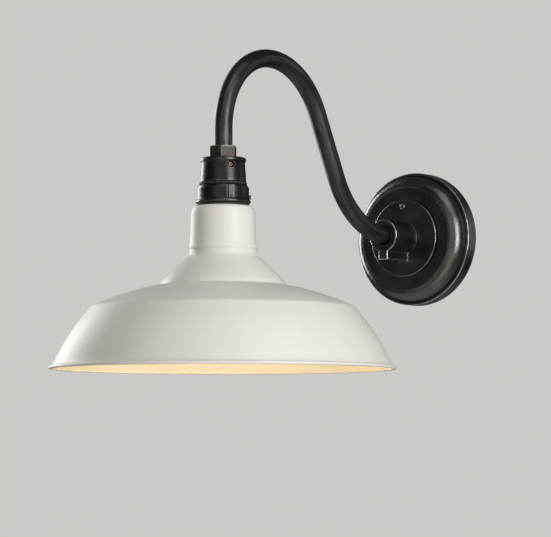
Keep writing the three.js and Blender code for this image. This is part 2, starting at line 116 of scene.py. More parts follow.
def rounded(points, n=5, guard=0.5, closed=False):
    """A profile of (r, z[, corner radius]) with each corner turned into an arc. Returns (r, z, wear) rows; wear is 1 on convex corners."""
    pts = [(p[0], p[1], p[2] if len(p) > 2 else 0.0) for p in points]
    out = []
    count = len(pts)
    for i, (x, y, r) in enumerate(pts):
        if not closed and (i == 0 or i == count - 1):
            out.append((x, y, 0.0))
            continue
        a = Vector(pts[i - 1][:2])
        b = Vector((x, y))
        c = Vector(pts[(i + 1) % count][:2])
        d1, d2 = (b - a), (c - b)
        l1, l2 = d1.length, d2.length
        if l1 < 1e-6 or l2 < 1e-6:
            continue
        d1.normalize()
        d2.normalize()
        cross = d1.x * d2.y - d1.y * d2.x
        ang = math.atan2(cross, d1.dot(d2))
        convex = 1.0 if cross > 0 else 0.0
        if r <= 0 or abs(ang) < rad(3):
            out.append((x, y, 0.0))
            continue
        t = r * math.tan(abs(ang) / 2)
        t = min(t, l1 * 0.48, l2 * 0.48)
        rr = t / math.tan(abs(ang) / 2)
        p1, p2 = b - d1 * t, b + d2 * t
        s = 1 if ang > 0 else -1
        centre = p1 + Vector((-d1.y, d1.x)) * rr * s
        g1 = min(guard, l1 * 0.48 - t * 0.98) if l1 * 0.48 > t else 0
        g2 = min(guard, l2 * 0.48 - t * 0.98) if l2 * 0.48 > t else 0
        if g1 > 0.05:
            q = p1 - d1 * g1
            out.append((q.x, q.y, 0.0))
        steps = max(2, int(round(n * abs(ang) / (PI / 2))))
        a0 = math.atan2(p1.y - centre.y, p1.x - centre.x)
        for k in range(steps + 1):
            aa = a0 + ang * k / steps
            w = convex * min(1.0, abs(ang) / rad(50)) * (0.55 + 0.45 * math.sin(PI * k / steps))
            out.append((centre.x + rr * math.cos(aa), centre.y + rr * math.sin(aa), w))
        if g2 > 0.05:
            q = p2 + d2 * g2
            out.append((q.x, q.y, 0.0))
    return out


def split_long(rows, longest, closed):
    """Adds rows to a profile so that no step is longer than a length."""
    out = []
    n = len(rows)
    for i in range(n if closed else n - 1):
        a, b = rows[i], rows[(i + 1) % n]
        out.append(a)
        k = int(math.hypot(b[0] - a[0], b[1] - a[1]) / longest)
        for j in range(1, k + 1):
            t = j / (k + 1)
            out.append(tuple(a[m] + (b[m] - a[m]) * t for m in range(3)))
    if not closed:
        out.append(rows[-1])
    return out


def lathe(name, rows, matrix, mats, seg=128, closed=True, sharp=34, longest=6.0, dead=None, part=None):
    """A body turned about local Z from rows of (r, z, wear). An open profile starts and ends on the axis. part(row index) picks a material."""
    rows = [r if len(r) == 3 else (r[0], r[1], 0.0) for r in rows]
    rows = split_long(rows, longest, closed)
    verts, wear_and_painted_light, flow, faces, fm = [], [], [], [], []
    index = []
    run = 0.0
    prev = None
    for r, z, w in rows:
        if prev is not None:
            run += math.hypot(r - prev[0], z - prev[1])
        prev = (r, z)
        if r < 1e-5:
            index.append([len(verts)])
            verts.append((0, 0, z))
            wear_and_painted_light.append(w)
            flow.append((0, 0, run * 14))
        else:
            ring = []
            for s in range(seg):
                a = 2 * PI * s / seg
                ring.append(len(verts))
                verts.append((r * math.cos(a), r * math.sin(a), z))
                wear_and_painted_light.append(w)
                # noise read along this vector runs in hoops round the axis, as tool marks do
                flow.append((run * 14, r * math.cos(a) * 0.25, r * math.sin(a) * 0.25))
            index.append(ring)
    n = len(index)
    for i in range(n if closed else n - 1):
        a, b = index[i], index[(i + 1) % n]
        made = []
        if len(a) == 1 and len(b) == 1:
            continue
        if len(a) == 1:
            made = [(a[0], b[(s + 1) % seg], b[s]) for s in range(seg)]
        elif len(b) == 1:
            made = [(a[s], a[(s + 1) % seg], b[0]) for s in range(seg)]
        else:
            made = [(a[s], a[(s + 1) % seg], b[(s + 1) % seg], b[s]) for s in range(seg)]
        faces += made
        if part is not None:
            fm += [part(rows[i], rows[(i + 1) % n])] * len(made)
    return build(name, verts, faces, matrix, mats, wear_and_painted_light, flow, fm if part is not None else None, sharp)


def loft(name, rings, matrix, mats, closed=False, wear_and_painted_light=None, sharp=34):
    """Skins a stack of rings of equal count, each a list of (x, y, z); the first and last are capped by a fan unless closed."""
    n = len(rings[0])
    verts = [p for ring in rings for p in ring]
    w = [0.0] * len(verts) if wear_and_painted_light is None else [x for ring in wear_and_painted_light for x in ring]
    faces = []
    m = len(rings)
    for i in range(m if closed else m - 1):
        a, b = i * n, ((i + 1) % m) * n
        for s in range(n):
            t = (s + 1) % n
            faces.append((a + s, a + t, b + t, b + s))
    if not closed:
        for i, flip in ((0, True), (m - 1, False)):
            ring = rings[i]
            c = len(verts)
            verts.append(tuple(sum(p[k] for p in ring) / n for k in range(3)))
            w.append(0.0)
            for s in range(n):
                t = (s + 1) % n
                f = (i * n + s, i * n + t, c)
                faces.append(f[::-1] if flip else f)
    flow = [(v[0], v[1], v[2] * 6) for v in verts]
    return build(name, verts, faces, matrix, mats, w, flow, None, sharp)


def sweep(name, path, radius, matrix, mats, sides=32, bore=None, wear_ends=True, sharp=34):
    """A round tube along points of a path that lies in a plane or bends gently; hollow when a bore is given."""
    pts = [Vector(p) for p in path]
    tangents = []
    for i in range(len(pts)):
        a = pts[max(i - 1, 0)]
        b = pts[min(i + 1, len(pts) - 1)]
        tangents.append((b - a).normalized())
    normal = Vector((1, 0, 0))
    if abs(tangents[0].dot(normal)) > 0.9:
        normal = Vector((0, 1, 0))
    normal = (normal - tangents[0] * normal.dot(tangents[0])).normalized()
    frames = []
    for i, t in enumerate(tangents):
        if i:
            q = tangents[i - 1].rotation_difference(t)
            normal = (q @ normal)
            normal = (normal - t * normal.dot(t)).normalized()
        frames.append((normal.copy(), t.cross(normal).normalized()))
    verts, wear_and_painted_light, flow = [], [], []
    run = 0.0
    stations = []
    for i, p in enumerate(pts):
        if i:
            run += (p - pts[i - 1]).length
        stations.append((p, frames[i], run))
    chamfer = min(0.7, radius * 0.12)

    def ring(i, r, along=0.0, w=0.0):
        p, (u, v), s = stations[i]
        t = tangents[i]
        out = []
        for k in range(sides):
            a = 2 * PI * k / sides
            q = p + (u * math.cos(a) + v * math.sin(a)) * r + t * along
            out.append(len(verts))
            verts.append(tuple(q))
            wear_and_painted_light.append(w)
            flow.append((r * math.cos(a) * 9, r * math.sin(a) * 9, (s + along) * 0.55))
        return out

    rings = [ring(0, radius - chamfer, 0, 0.6), ring(0, radius, chamfer, 0.3)]
    rings += [ring(i, radius) for i in range(1, len(pts) - 1)]
    last = len(pts) - 1
    rings += [ring(last, radius, -chamfer, 0.3), ring(last, radius - chamfer, 0, 0.6)]
    if bore:
        rings += [ring(last, bore)]
        rings += [ring(i, bore) for i in range(len(pts) - 2, 0, -1)]
        rings += [ring(0, bore)]
    faces = []
    m = len(rings)
    for i in range(m if bore else m - 1):
        a, b = rings[i], rings[(i + 1) % m]
        for s in range(sides):
            t = (s + 1) % sides
            faces.append((a[s], a[t], b[t], b[s]))
    if not bore:
        for rg, flip in ((rings[0], True), (rings[-1], False)):
            f = tuple(rg)
            faces.append(f[::-1] if flip else f)
    return build(name, verts, faces, matrix, mats, wear_and_painted_light, flow, None, sharp)


def spline(points, n=8, closed=False):
    """Smooth run through points, any dimension."""
    out = []
    cnt = len(points)
    for i in range(cnt - 1):
        p0 = points[max(i - 1, 0)]
        p1, p2 = points[i], points[i + 1]
        p3 = points[min(i + 2, cnt - 1)]
        for k in range(n):
            t = k / n
            out.append(
                tuple(
                    0.5
                    * (
                        2 * b
                        + (c - a) * t
                        + (2 * a - 5 * b + 4 * c - d) * t * t
                        + (3 * b - a - 3 * c + d) * t ** 3
                    )
                    for a, b, c, d in zip(p0, p1, p2, p3)
                )
            )
    out.append(tuple(points[-1]))
    return out


def outline(points, n=5):
    """A closed 2-D outline of (x, y[, corner radius]) as (x, y, wear) rows."""
    return rounded(points, n=n, guard=0.6, closed=True)


def hexagon(af, turn=0.0, r=0.4):
    c = af / 2 / math.cos(PI / 6)
    return [(c * math.cos(rad(60 * i + turn)), c * math.sin(rad(60 * i + turn)), r) for i in range(6)]


def cut(ob, tool, how="DIFFERENCE"):
    """Joins or cuts with a tool solid and removes the tool."""
    tool.hide_render = True
    m = ob.modifiers.new("cut", "BOOLEAN")
    m.operation = how
    m.object = tool
    m.solver = "MANIFOLD"
    bpy.context.view_layer.update()
    dg = bpy.context.evaluated_depsgraph_get()
    me = bpy.data.meshes.new_from_object(ob.evaluated_get(dg), preserve_all_data_layers=True, depsgraph=dg)
    ob.modifiers.clear()
    old = ob.data
    ob.data = me
    me.name = ob.name
    bpy.data.meshes.remove(old)
    bpy.data.objects.remove(tool)
    soften(ob.data)
    return ob


def bar(name, r, z0, z1, matrix, mat, seg=40):
    """A plain round bar, used as a drill."""
    return lathe(name, [(0, z0, 0), (r, z0, 0), (r, z1, 0), (0, z1, 0)], matrix, mat, seg, closed=False, longest=50)


def level(points, z0, z1, e, matrix, name, mats, n=4, corner_n=5, rubbed=1.0):
    """A prism of a 2-D outline with both ends eased by a radius e."""
    rows = outline(points, corner_n)
    cnt = len(rows)
    xy = [Vector(r[:2]) for r in rows]
    nrm = []
    for i in range(cnt):
        t = (xy[(i + 1) % cnt] - xy[i - 1]).normalized()
        nrm.append(Vector((t.y, -t.x)))
    rings, wear_and_light_rows = [], []

    def add(inset, z, w):
        rings.append([(xy[i].x - nrm[i].x * inset, xy[i].y - nrm[i].y * inset, z) for i in range(cnt)])
        wear_and_light_rows.append([max(w, rows[i][2] * 0.8) * rubbed for i in range(cnt)])

    for k in range(n + 1):
        a = PI / 2 * k / n
        add(e * (1 - math.sin(a)), z0 + e * (1 - math.cos(a)), 0.4 + 0.6 * math.sin(PI * k / n))
    add(0, z0 + e + 0.5, 0)
    add(0, z1 - e - 0.5, 0)
    for k in range(n + 1):
        a = PI / 2 * k / n
        add(e * (1 - math.cos(a)), z1 - e * (1 - math.sin(a)), 0.4 + 0.6 * math.sin(PI * k / n))
    return loft(name, rings, matrix, mats, wear_and_painted_light=wear_and_light_rows)


# ------------------------------------------------------------------ materials
def material(name):
    m = bpy.data.materials.new(name)
    m.use_nodes = True
    nt = m.node_tree
    return m, nt, nt.nodes["Principled BSDF"], nt.nodes, nt.links


def node(nodes, kind, **inputs):
    n = nodes.new(kind)
    for k, v in inputs.items():
        key = k.replace("_", " ")
        if key in n.inputs:
            n.inputs[key].default_value = v
        else:
            setattr(n, k, v)
    return n


def noise(nodes, links, vector, scale, detail=3.0, rough=0.55):
    n = node(nodes, "ShaderNodeTexNoise", Scale=scale, Detail=detail, Roughness=rough)
    links.new(vector, n.inputs["Vector"])
    return n.outputs["Fac"]


def ramp(nodes, links, fac, stops):
    r = nodes.new("ShaderNodeValToRGB")
    cr = r.color_ramp
    while len(cr.elements) < len(stops):
        cr.elements.new(0.5)
    for e, (p, c) in zip(cr.elements, stops):
        e.position = p
        e.color = (*c, 1.0) if isinstance(c, tuple) else (c, c, c, 1.0)
    links.new(fac, r.inputs["Fac"])
    return r.outputs["Color"]


def mix(nodes, links, fac, a, b, how="MIX"):
    n = nodes.new("ShaderNodeMix")
    n.data_type = "RGBA"
    n.blend_type = how
    for sock, val in (("Factor", fac), ("A", a), ("B", b)):
        target = next(i for i in n.inputs if i.name == sock and (i.type == "RGBA" or sock == "Factor" and i.type == "VALUE"))
        if isinstance(val, (int, float)):
            target.default_value = val
        elif isinstance(val, tuple):
            target.default_value = (*val, 1.0)
        else:
            links.new(val, target)
    return next(o for o in n.outputs if o.type == "RGBA")


def remap(nodes, links, value, lo, hi, a=0.0, b=1.0):
    n = nodes.new("ShaderNodeMapRange")
    n.inputs["From Min"].default_value = a
    n.inputs["From Max"].default_value = b
    n.inputs["To Min"].default_value = lo
    n.inputs["To Max"].default_value = hi
    links.new(value, n.inputs["Value"])
    return n.outputs["Result"]


def math_node(nodes, links, how, a, b):
    n = nodes.new("ShaderNodeMath")
    n.operation = how
    for i, v in enumerate((a, b)):
        if isinstance(v, (int, float)):
            n.inputs[i].default_value = v
        else:
            links.new(v, n.inputs[i])
    return n.outputs[0]


def bump(nodes, links, bsdf, height, strength, distance, under=None):
    n = nodes.new("ShaderNodeBump")
    n.inputs["Strength"].default_value = strength
    n.inputs["Distance"].default_value = distance
    links.new(height, n.inputs["Height"])
    if under is not None:
        links.new(under, n.inputs["Normal"])
    if bsdf is not None:
        links.new(n.outputs["Normal"], bsdf.inputs["Normal"])
    return n.outputs["Normal"]


def blackened(name, dark, light, worn, rough=(0.30, 0.46), wear_gain=1.0, streak=0.0, grain=0.12, patch=34.0):
    """Blackened metal: darker and lighter clouds, a fine grain, rubbed edges, and streaks along the flow attribute."""
    m, nt, bsdf, nodes, links = material(name)
    obj = nodes.new("ShaderNodeTexCoord").outputs["Object"]
    clouds = noise(nodes, links, obj, patch, 5.0, 0.6)
    fine = noise(nodes, links, obj, 620.0, 3.0, 0.6)
    col = ramp(nodes, links, clouds, [(0.34, dark), (0.68, light)])
    col = mix(nodes, links, remap(nodes, links, fine, 0.0, 0.4, 0.35, 0.75), col, tuple(min(1, c * 1.7) for c in light))
    r = remap(nodes, links, clouds, rough[0], rough[1], 0.3, 0.7)
    if streak > 0:
        flow = nodes.new("ShaderNodeAttribute")
        flow.attribute_name = "flow"
        lines = noise(nodes, links, flow.outputs["Vector"], 90.0, 4.0, 0.65)
        soft = noise(nodes, links, flow.outputs["Vector"], 22.0, 2.0, 0.5)
        both = math_node(nodes, links, "MULTIPLY", remap(nodes, links, lines, 0.0, 1.0, 0.42, 0.72), remap(nodes, links, soft, 0.2, 1.0, 0.35, 0.65))
        col = mix(nodes, links, math_node(nodes, links, "MULTIPLY", both, streak), col, worn)
        r = math_node(nodes, links, "ADD", r, math_node(nodes, links, "MULTIPLY", both, -0.06))
    # rubbed edges lightened from the mask; in the holder lug's tight corner the same mask paints a highlight
    wear_and_painted_light = nodes.new("ShaderNodeAttribute")
    wear_and_painted_light.attribute_name = "wear_and_painted_light"
    breakup = noise(nodes, links, obj, 170.0, 4.0, 0.6)
    rub_and_painted_light = math_node(nodes, links, "MULTIPLY", wear_and_painted_light.outputs["Fac"], remap(nodes, links, breakup, 0.35, 1.0, 0.36, 0.6))
    rub_and_painted_light = math_node(nodes, links, "MULTIPLY", rub_and_painted_light, wear_gain)
    rub_and_painted_light = math_node(nodes, links, "MINIMUM", rub_and_painted_light, 1.0)
    col = mix(nodes, links, rub_and_painted_light, col, worn)
    # small bright nicks
    nick = noise(nodes, links, obj, 1500.0, 1.0, 0.4)
    nick = remap(nodes, links, nick, 0.0, 0.5, 0.70, 0.80)
    col = mix(nodes, links, nick, col, worn)
    links.new(col, bsdf.inputs["Base Color"])
    links.new(r, bsdf.inputs["Roughness"])
    bsdf.inputs["Metallic"].default_value = 1.0
    first = bump(nodes, links, None, clouds, 0.10, 0.0012)
    bump(nodes, links, bsdf, fine, grain, 0.0003, first)
    return m


def plain_metal(name, a, b, rough=(0.25, 0.4), scale=120.0, wear_col=None, metallic=1.0, hoops=True):
    m, nt, bsdf, nodes, links = material(name)
    obj = nodes.new("ShaderNodeTexCoord").outputs["Object"]
    clouds = noise(nodes, links, obj, scale, 4.0, 0.6)
    col = ramp(nodes, links, clouds, [(0.3, a), (0.7, b)])
    if wear_col is not None:
        wear_and_painted_light = nodes.new("ShaderNodeAttribute")
        wear_and_painted_light.attribute_name = "wear_and_painted_light"
        col = mix(nodes, links, wear_and_painted_light.outputs["Fac"], col, wear_col)
    links.new(col, bsdf.inputs["Base Color"])
    links.new(remap(nodes, links, clouds, rough[0], rough[1], 0.3, 0.7), bsdf.inputs["Roughness"])
    bsdf.inputs["Metallic"].default_value = metallic
    if hoops:
        flow = nodes.new("ShaderNodeAttribute")
        flow.attribute_name = "flow"
        bump(nodes, links, bsdf, noise(nodes, links, flow.outputs["Vector"], 70.0, 2.0, 0.5), 0.12, 0.0002)
    else:
        bump(nodes, links, bsdf, noise(nodes, links, obj, 900.0, 2.0, 0.5), 0.12, 0.0002)
    return m


def moulded(name, a, b, rough=(0.5, 0.7), scale=200.0, grain=0.15):
    m, nt, bsdf, nodes, links = material(name)
    obj = nodes.new("ShaderNodeTexCoord").outputs["Object"]
    clouds = noise(nodes, links, obj, scale, 4.0, 0.6)
    links.new(ramp(nodes, links, clouds, [(0.3, a), (0.7, b)]), bsdf.inputs["Base Color"])
    links.new(remap(nodes, links, clouds, rough[0], rough[1], 0.3, 0.7), bsdf.inputs["Roughness"])
    bump(nodes, links, bsdf, noise(nodes, links, obj, 1100.0, 2.0, 0.5), grain, 0.0002)
    return m


def powder(name, base, tint, speck_and_shade_colour):
    """Satin powder coat: a hardly visible cloudiness, orange peel, dark specks, and painted shade darkening the folds.
    """
    m, nt, bsdf, nodes, links = material(name)
    obj = nodes.new("ShaderNodeTexCoord").outputs["Object"]
    clouds = noise(nodes, links, obj, 14.0, 4.0, 0.55)
    col = ramp(nodes, links, clouds, [(0.3, base), (0.7, tint)])
    specks = noise(nodes, links, obj, 480.0, 2.0, 0.5)
    col = mix(nodes, links, remap(nodes, links, specks, 0.0, 0.35, 0.70, 0.82), col, speck_and_shade_colour)
    wear_and_painted_light = nodes.new("ShaderNodeAttribute")
    wear_and_painted_light.attribute_name = "wear_and_painted_light"
    # painted shade: the crease mask darkens the coat in the folds, broken up by noise
    crease_shade_noise = noise(nodes, links, obj, 60.0, 4.0, 0.6)
    col = mix(nodes, links, math_node(nodes, links, "MULTIPLY", wear_and_painted_light.outputs["Fac"], remap(nodes, links, crease_shade_noise, 0.15, 0.75, 0.35, 0.7)), col, speck_and_shade_colour)
    links.new(col, bsdf.inputs["Base Color"])
    links.new(remap(nodes, links, clouds, 0.40, 0.50, 0.3, 0.7), bsdf.inputs["Roughness"])
    bsdf.inputs["Specular IOR Level"].default_value = 0.45
    peel = noise(nodes, links, obj, 420.0, 2.0, 0.45)
    wave = noise(nodes, links, obj, 22.0, 1.0, 0.4)
    first = bump(nodes, links, None, wave, 0.12, 0.0010)
    bump(nodes, links, bsdf, peel, 0.10, 0.00022, first)
    return m


CAST = blackened("cast_black", (0.060, 0.061, 0.063), (0.150, 0.149, 0.147), (0.60, 0.59, 0.57), (0.15, 0.25), 0.9, 0.0, 0.85)
TURNED = blackened("turned_black", (0.021, 0.0225, 0.0235), (0.047, 0.048, 0.049), (0.34, 0.34, 0.33), (0.30, 0.40), 0.45, 0.10, 0.12)
TUBE = blackened("tube_black", (0.028, 0.028, 0.029), (0.060, 0.059, 0.058), (0.32, 0.31, 0.30), (0.36, 0.47), 0.6, 0.32, 0.14, 26.0)
NUT = blackened("nut_steel", (0.045, 0.040, 0.037), (0.115, 0.105, 0.098), (0.50, 0.48, 0.45), (0.50, 0.66), 0.8, 0.0, 0.35, 240.0)
SHADE = powder("shade_coat_white", (0.79, 0.775, 0.735), (0.825, 0.812, 0.775), (0.50, 0.47, 0.42))
ZINC = plain_metal("zinc_plate", (0.50, 0.51, 0.53), (0.66, 0.66, 0.65), (0.28, 0.45), 140.0, (0.75, 0.75, 0.74))
BRASS = plain_metal("plain_brass", (0.52, 0.37, 0.16), (0.74, 0.58, 0.30), (0.22, 0.38), 160.0, (0.85, 0.72, 0.45))
# a darker copy of the brass for the set screw sunk in the cap: aged brass and painted shade of its hole
AGED_SHADED_BRASS = plain_metal("aged_and_shaded_brass", (0.14, 0.11, 0.06), (0.34, 0.27, 0.15), (0.34, 0.5), 420.0, (0.42, 0.36, 0.22))
NICKEL = plain_metal("lamp_cap_nickel", (0.62, 0.61, 0.58), (0.76, 0.75, 0.72), (0.2, 0.32), 160.0, (0.85, 0.84, 0.82))
RUBBER = moulded("gasket_rubber", (0.012, 0.012, 0.012), (0.030, 0.030, 0.030), (0.6, 0.8), 240.0, 0.3)
PORCELAIN = moulded("glazed_porcelain", (0.78, 0.76, 0.71), (0.86, 0.845, 0.80), (0.12, 0.2), 60.0, 0.04)
BLACK_GLASS = moulded("black_vitrite", (0.010, 0.010, 0.012), (0.03, 0.03, 0.034), (0.08, 0.16), 120.0, 0.05)
ORANGE = moulded("connector_plastic", (0.60, 0.20, 0.045), (0.72, 0.28, 0.07), (0.4, 0.55), 160.0, 0.2)
LEAD_BLACK = moulded("lead_black", (0.012, 0.012, 0.012), (0.035, 0.035, 0.035), (0.4, 0.55), 300.0, 0.1)
LEAD_WHITE = moulded("lead_white", (0.66, 0.64, 0.59), (0.76, 0.74, 0.69), (0.4, 0.55), 300.0, 0.1)
LEAD_GREEN = moulded("lead_green", (0.03, 0.19, 0.06), (0.06, 0.28, 0.09), (0.4, 0.55), 300.0, 0.1)
GREEN_SCREW = plain_metal("green_dyed_steel", (0.04, 0.22, 0.08), (0.09, 0.34, 0.13), (0.28, 0.42), 160.0, (0.4, 0.5, 0.4))


def glowing_glass():
    m, nt, bsdf, nodes, links = material("opal_lamp_glass")
    obj = nodes.new("ShaderNodeTexCoord").outputs["Object"]
    clouds = noise(nodes, links, obj, 40.0, 3.0, 0.5)
    links.new(ramp(nodes, links, clouds, [(0.3, (0.90, 0.87, 0.80)), (0.7, (0.95, 0.92, 0.86))]), bsdf.inputs["Base Color"])
    links.new(remap(nodes, links, clouds, 0.28, 0.40, 0.3, 0.7), bsdf.inputs["Roughness"])
    bsdf.inputs["Emission Color"].default_value = (1.0, 0.665, 0.235, 1.0)
    bsdf.inputs["Emission Strength"].default_value = 29.5
    bump(nodes, links, bsdf, noise(nodes, links, obj, 800.0, 2.0, 0.5), 0.05, 0.0001)
    return m


def clear_glass():
    m, nt, bsdf, nodes, links = material("clear_stem_glass")
    obj = nodes.new("ShaderNodeTexCoord").outputs["Object"]
    clouds = noise(nodes, links, obj, 90.0, 3.0, 0.5)
    links.new(ramp(nodes, links, clouds, [(0.3, (0.86, 0.89, 0.88)), (0.7, (0.94, 0.96, 0.95))]), bsdf.inputs["Base Color"])
    links.new(remap(nodes, links, clouds, 0.02, 0.08, 0.3, 0.7), bsdf.inputs["Roughness"])
    bsdf.inputs["Transmission Weight"].default_value = 0.9
    bsdf.inputs["IOR"].default_value = 1.5
    return m


OPAL = glowing_glass()
CLEAR = clear_glass()
FILAMENT = plain_metal("tungsten_wire", (0.55, 0.45, 0.30), (0.75, 0.62, 0.42), (0.3, 0.4), 300.0)


def done(ob, body, slot_name, *nodes_replaced):
    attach(ob, body)
    if nodes_replaced:
        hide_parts(*nodes_replaced)
    return ob


# ------------------------------------------------------------------ the shade
def shade():
    t = 1.2
    c, br = 178.1 - RIM_BEAD_R, RIM_BEAD_R
    skirt = spline([(175.35, 2.25), (174.6, 2.95), (173.6, 4.4), (172.6, 6.1), (170.8, 9.7), (168.6, 14.1), (164.2, 22.3), (159.5, 30.5), (154.2, 38.7), (148.3, 46.9), (141.7, 55.1), (137.6, 60.2)], 4)
    corner = spline([(137.6, 60.2), (136.55, 61.5), (135.6, 62.42), (134.35, 63.25), (131.6, 64.6)], 4)
    dome = spline([(131.6, 64.6), (125, 67.35), (114.7, 71.4), (103, 75.5), (91.1, 79.2), (80, 82.1), (71.5, 83.9), (66.6, 84.6), (65.5, 84.9)], 5)
    root = [(65.05, 85.25), (64.75, 85.8), (64.4, 86.5)]
    bell = spline([(64.0, 87.3), (61.9, 90.4), (58.0, 94.9), (53.3, 99.6), (48.2, 104.3), (42.9, 109.0), (38.6, 112.7), (36.6, 114.7)], 5)
    neck_root = spline([(36.6, 114.7), (35.35, 116.5), (34.75, 118.6), (34.55, 120.9)], 4)
    bead = spline([(34.55, 120.9), (34.75, 121.7), (35.15, 122.6), (35.35, 123.9), (35.15, 125.2), (34.75, 126.2), (34.45, 127.2)], 4)
    neck = spline([(34.45, 127.2), (34.1, 131), (33.6, 142), (33.3, 151.5), (32.95, 159.5)], 5)
    top = spline([(32.95, 159.5), (32.65, 161.9), (31.95, 164.0), (30.8, 165.5), (29.4, 166.35), (27.8, 166.6), (24, 166.6), (21.6, 166.6)], 4)
    outer = []
    for run in (skirt, corner, dome, root, bell, neck_root, bead, neck, top):
        for p in run:
            if not outer or math.hypot(p[0] - outer[-1][0], p[1] - outer[-1][1]) > 0.12:
                outer.append(p)
    # the inside runs straight down to the edge, without the fillet above the lip
    base = [(174.9, 2.1), (172.75, 5.9)] + [p for p in outer if p[1] > 9.5]
    inner = []
    for i, (r, z) in enumerate(base):
        a, b = base[max(i - 1, 0)], base[min(i + 1, len(base) - 1)]
        d = math.hypot(b[0] - a[0], b[1] - a[1])
        inner.append((r - t * (b[1] - a[1]) / d, z + t * (b[0] - a[0]) / d))
    inner[-1] = (21.6, 166.6 - t)
    inner = inner[::-1]
    curl = []
    # the rolled edge: flush with the inside of the skirt, standing out as a small lip
    for k in range(19):
        a = rad(180 + (452 - 180) * k / 18)
        curl.append((c + br - 1.9 + 1.9 * math.cos(a), 0.3 + 1.75 * math.sin(a)))
    # painted shade in the creases where the curl meets the skirt, round the foot of the bell and beside the neck bead
    def crease_shade(r, z):
        w = 0.0
        if abs(z - 2.6) < 0.5 and r > 172:
            w = 0.12
        if abs(z - 85.2) < 1.0:
            w = max(w, 0.35)
        if abs(z - 121.2) < 0.7 or abs(z - 126.9) < 0.7:
            w = max(w, 0.3)
        return w
    rows = [(r, z, crease_shade(r, z)) for r, z in outer] + [(r, z, 0.0) for r, z in inner[:-1]] + [(r, z, 0.0) for r, z in curl]
    ob = lathe("spun_shade", rows, HEAD, SHADE, 224, closed=True, sharp=50, longest=5.0)
    return done(ob, "head", "shade_coat", "shade")


# ------------------------------------------------------------------ the arm
BEND_TOP_R1, BEND_TOP_R2, SLOPE, SLOPE_LEN, BEND_WALL_R = 82.7, 91.3, rad(62.5), 75.5, 107.6
TUBE_R, TUBE_BORE_R, TUBE_IN_HUB, TUBE_LOW_Z = 9.6, 7.6, 37.2, 49.0


def arm_points(step, x=0.0):
    bend_z = -(BEND_TOP_R1 - BEND_TOP_R2 + BEND_TOP_R2 * math.cos(SLOPE) - SLOPE_LEN * math.sin(SLOPE) - BEND_WALL_R * (1 - math.cos(SLOPE)))
    out = []

    def run(length, at):
        k = max(2, int(math.ceil(length / step)))
        for i in range(k):
            out.append(at(length * i / k))

    run(bend_z - TUBE_LOW_Z, lambda s: (x, DROP_Y, TUBE_LOW_Z + s))
    run(BEND_TOP_R1 * PI / 2, lambda s: (x, DROP_Y + BEND_TOP_R1 * (1 - math.cos(s / BEND_TOP_R1)), bend_z + BEND_TOP_R1 * math.sin(s / BEND_TOP_R1)))
    run(BEND_TOP_R2 * SLOPE, lambda s: (x, DROP_Y + BEND_TOP_R1 + BEND_TOP_R2 * math.sin(s / BEND_TOP_R2), bend_z + BEND_TOP_R1 - BEND_TOP_R2 * (1 - math.cos(s / BEND_TOP_R2))))
    y1 = DROP_Y + BEND_TOP_R1 + BEND_TOP_R2 * math.sin(SLOPE)
    z1 = bend_z + BEND_TOP_R1 - BEND_TOP_R2 * (1 - math.cos(SLOPE))
    run(SLOPE_LEN, lambda s: (x, y1 + s * math.cos(SLOPE), z1 - s * math.sin(SLOPE)))
    end_y = y1 + SLOPE_LEN * math.cos(SLOPE) + BEND_WALL_R * math.sin(SLOPE)
    run(BEND_WALL_R * SLOPE, lambda s: (x, end_y - BEND_WALL_R * math.sin(SLOPE - s / BEND_WALL_R), BEND_WALL_R * (1 - math.cos(SLOPE - s / BEND_WALL_R))))
    run(-TUBE_IN_HUB - end_y, lambda s: (x, end_y + s, 0))
    out.append((x, -TUBE_IN_HUB, 0))
    return out


def arm():
    tube = sweep("arm_tube", arm_points(2.6), TUBE_R, IDENT, TUBE, 56, TUBE_BORE_R)
    done(tube, "arm", "blackened_tube", "gooseneck_tube")
    for x, mat_, nm in ((-3, LEAD_BLACK, "black"), (3, LEAD_WHITE, "white")):
        ob = sweep("arm_lead_" + nm, arm_points(7.0, x), 1.0, IDENT, mat_, 12)
        done(ob, "arm", "lead_" + nm, "lead_%s_arm" % nm)
    # lock nut: hexagon with turned-down corners
    z0, z1 = 216.8, 228.9
    rows = outline(hexagon(25.4, 29.8 - 90, 0.35), 4)
    dense = []
    for i, r in enumerate(rows):
        n = rows[(i + 1) % len(rows)]
        dense.append(r)
        k = int(math.hypot(n[0] - r[0], n[1] - r[1]) / 1.4)
        for j in range(1, k + 1):
            dense.append(tuple(r[m] + (n[m] - r[m]) * j / (k + 1) for m in range(3)))
    polar = [(math.atan2(y, x), math.hypot(x, y), w) for x, y, w in dense]
    rings, wear_and_light_rows = [], []

    def ring(z, limit, w, plain=None):
        out, ww = [], []
        for a, r, e in polar:
            rr = plain if plain is not None else min(r, limit)
            out.append((rr * math.cos(a), rr * math.sin(a), z))
            trimmed = plain is None and r > limit
            ww.append(max(w, 0.9 if trimmed and w >= 0 else 0, e * 0.9) if plain is None else max(w, 0))
        rings.append(out)
        wear_and_light_rows.append(ww)

    bore = 9.95
    ring(z0, 0, 0, bore)
    ring(z0, 12.7, 0)
    for k in range(6):
        ring(z0 + 0.16 * k + 0.02, 13.5 + 0.25 * k, 0)
    ring(z0 + 2.2, 99, 0)
    ring((z0 + z1) / 2, 99, 0)
    ring(z1 - 2.2, 99, 0)
    for k in range(5, -1, -1):
        ring(z1 - 0.16 * k - 0.02, 13.5 + 0.25 * k, 0.8 if k < 4 else 0.3)
    ring(z1, 12.7, 0.8)
    ring(z1, 0, 0.3, 10.6)
    ring(z1 - 0.7, 0, 0.2, bore)
    ob = loft("arm_lock_nut", rings, HEAD, NUT, closed=True, wear_and_painted_light=wear_and_light_rows, sharp=26)
    done(ob, "arm", "nut_steel", "hex_lock_nut")


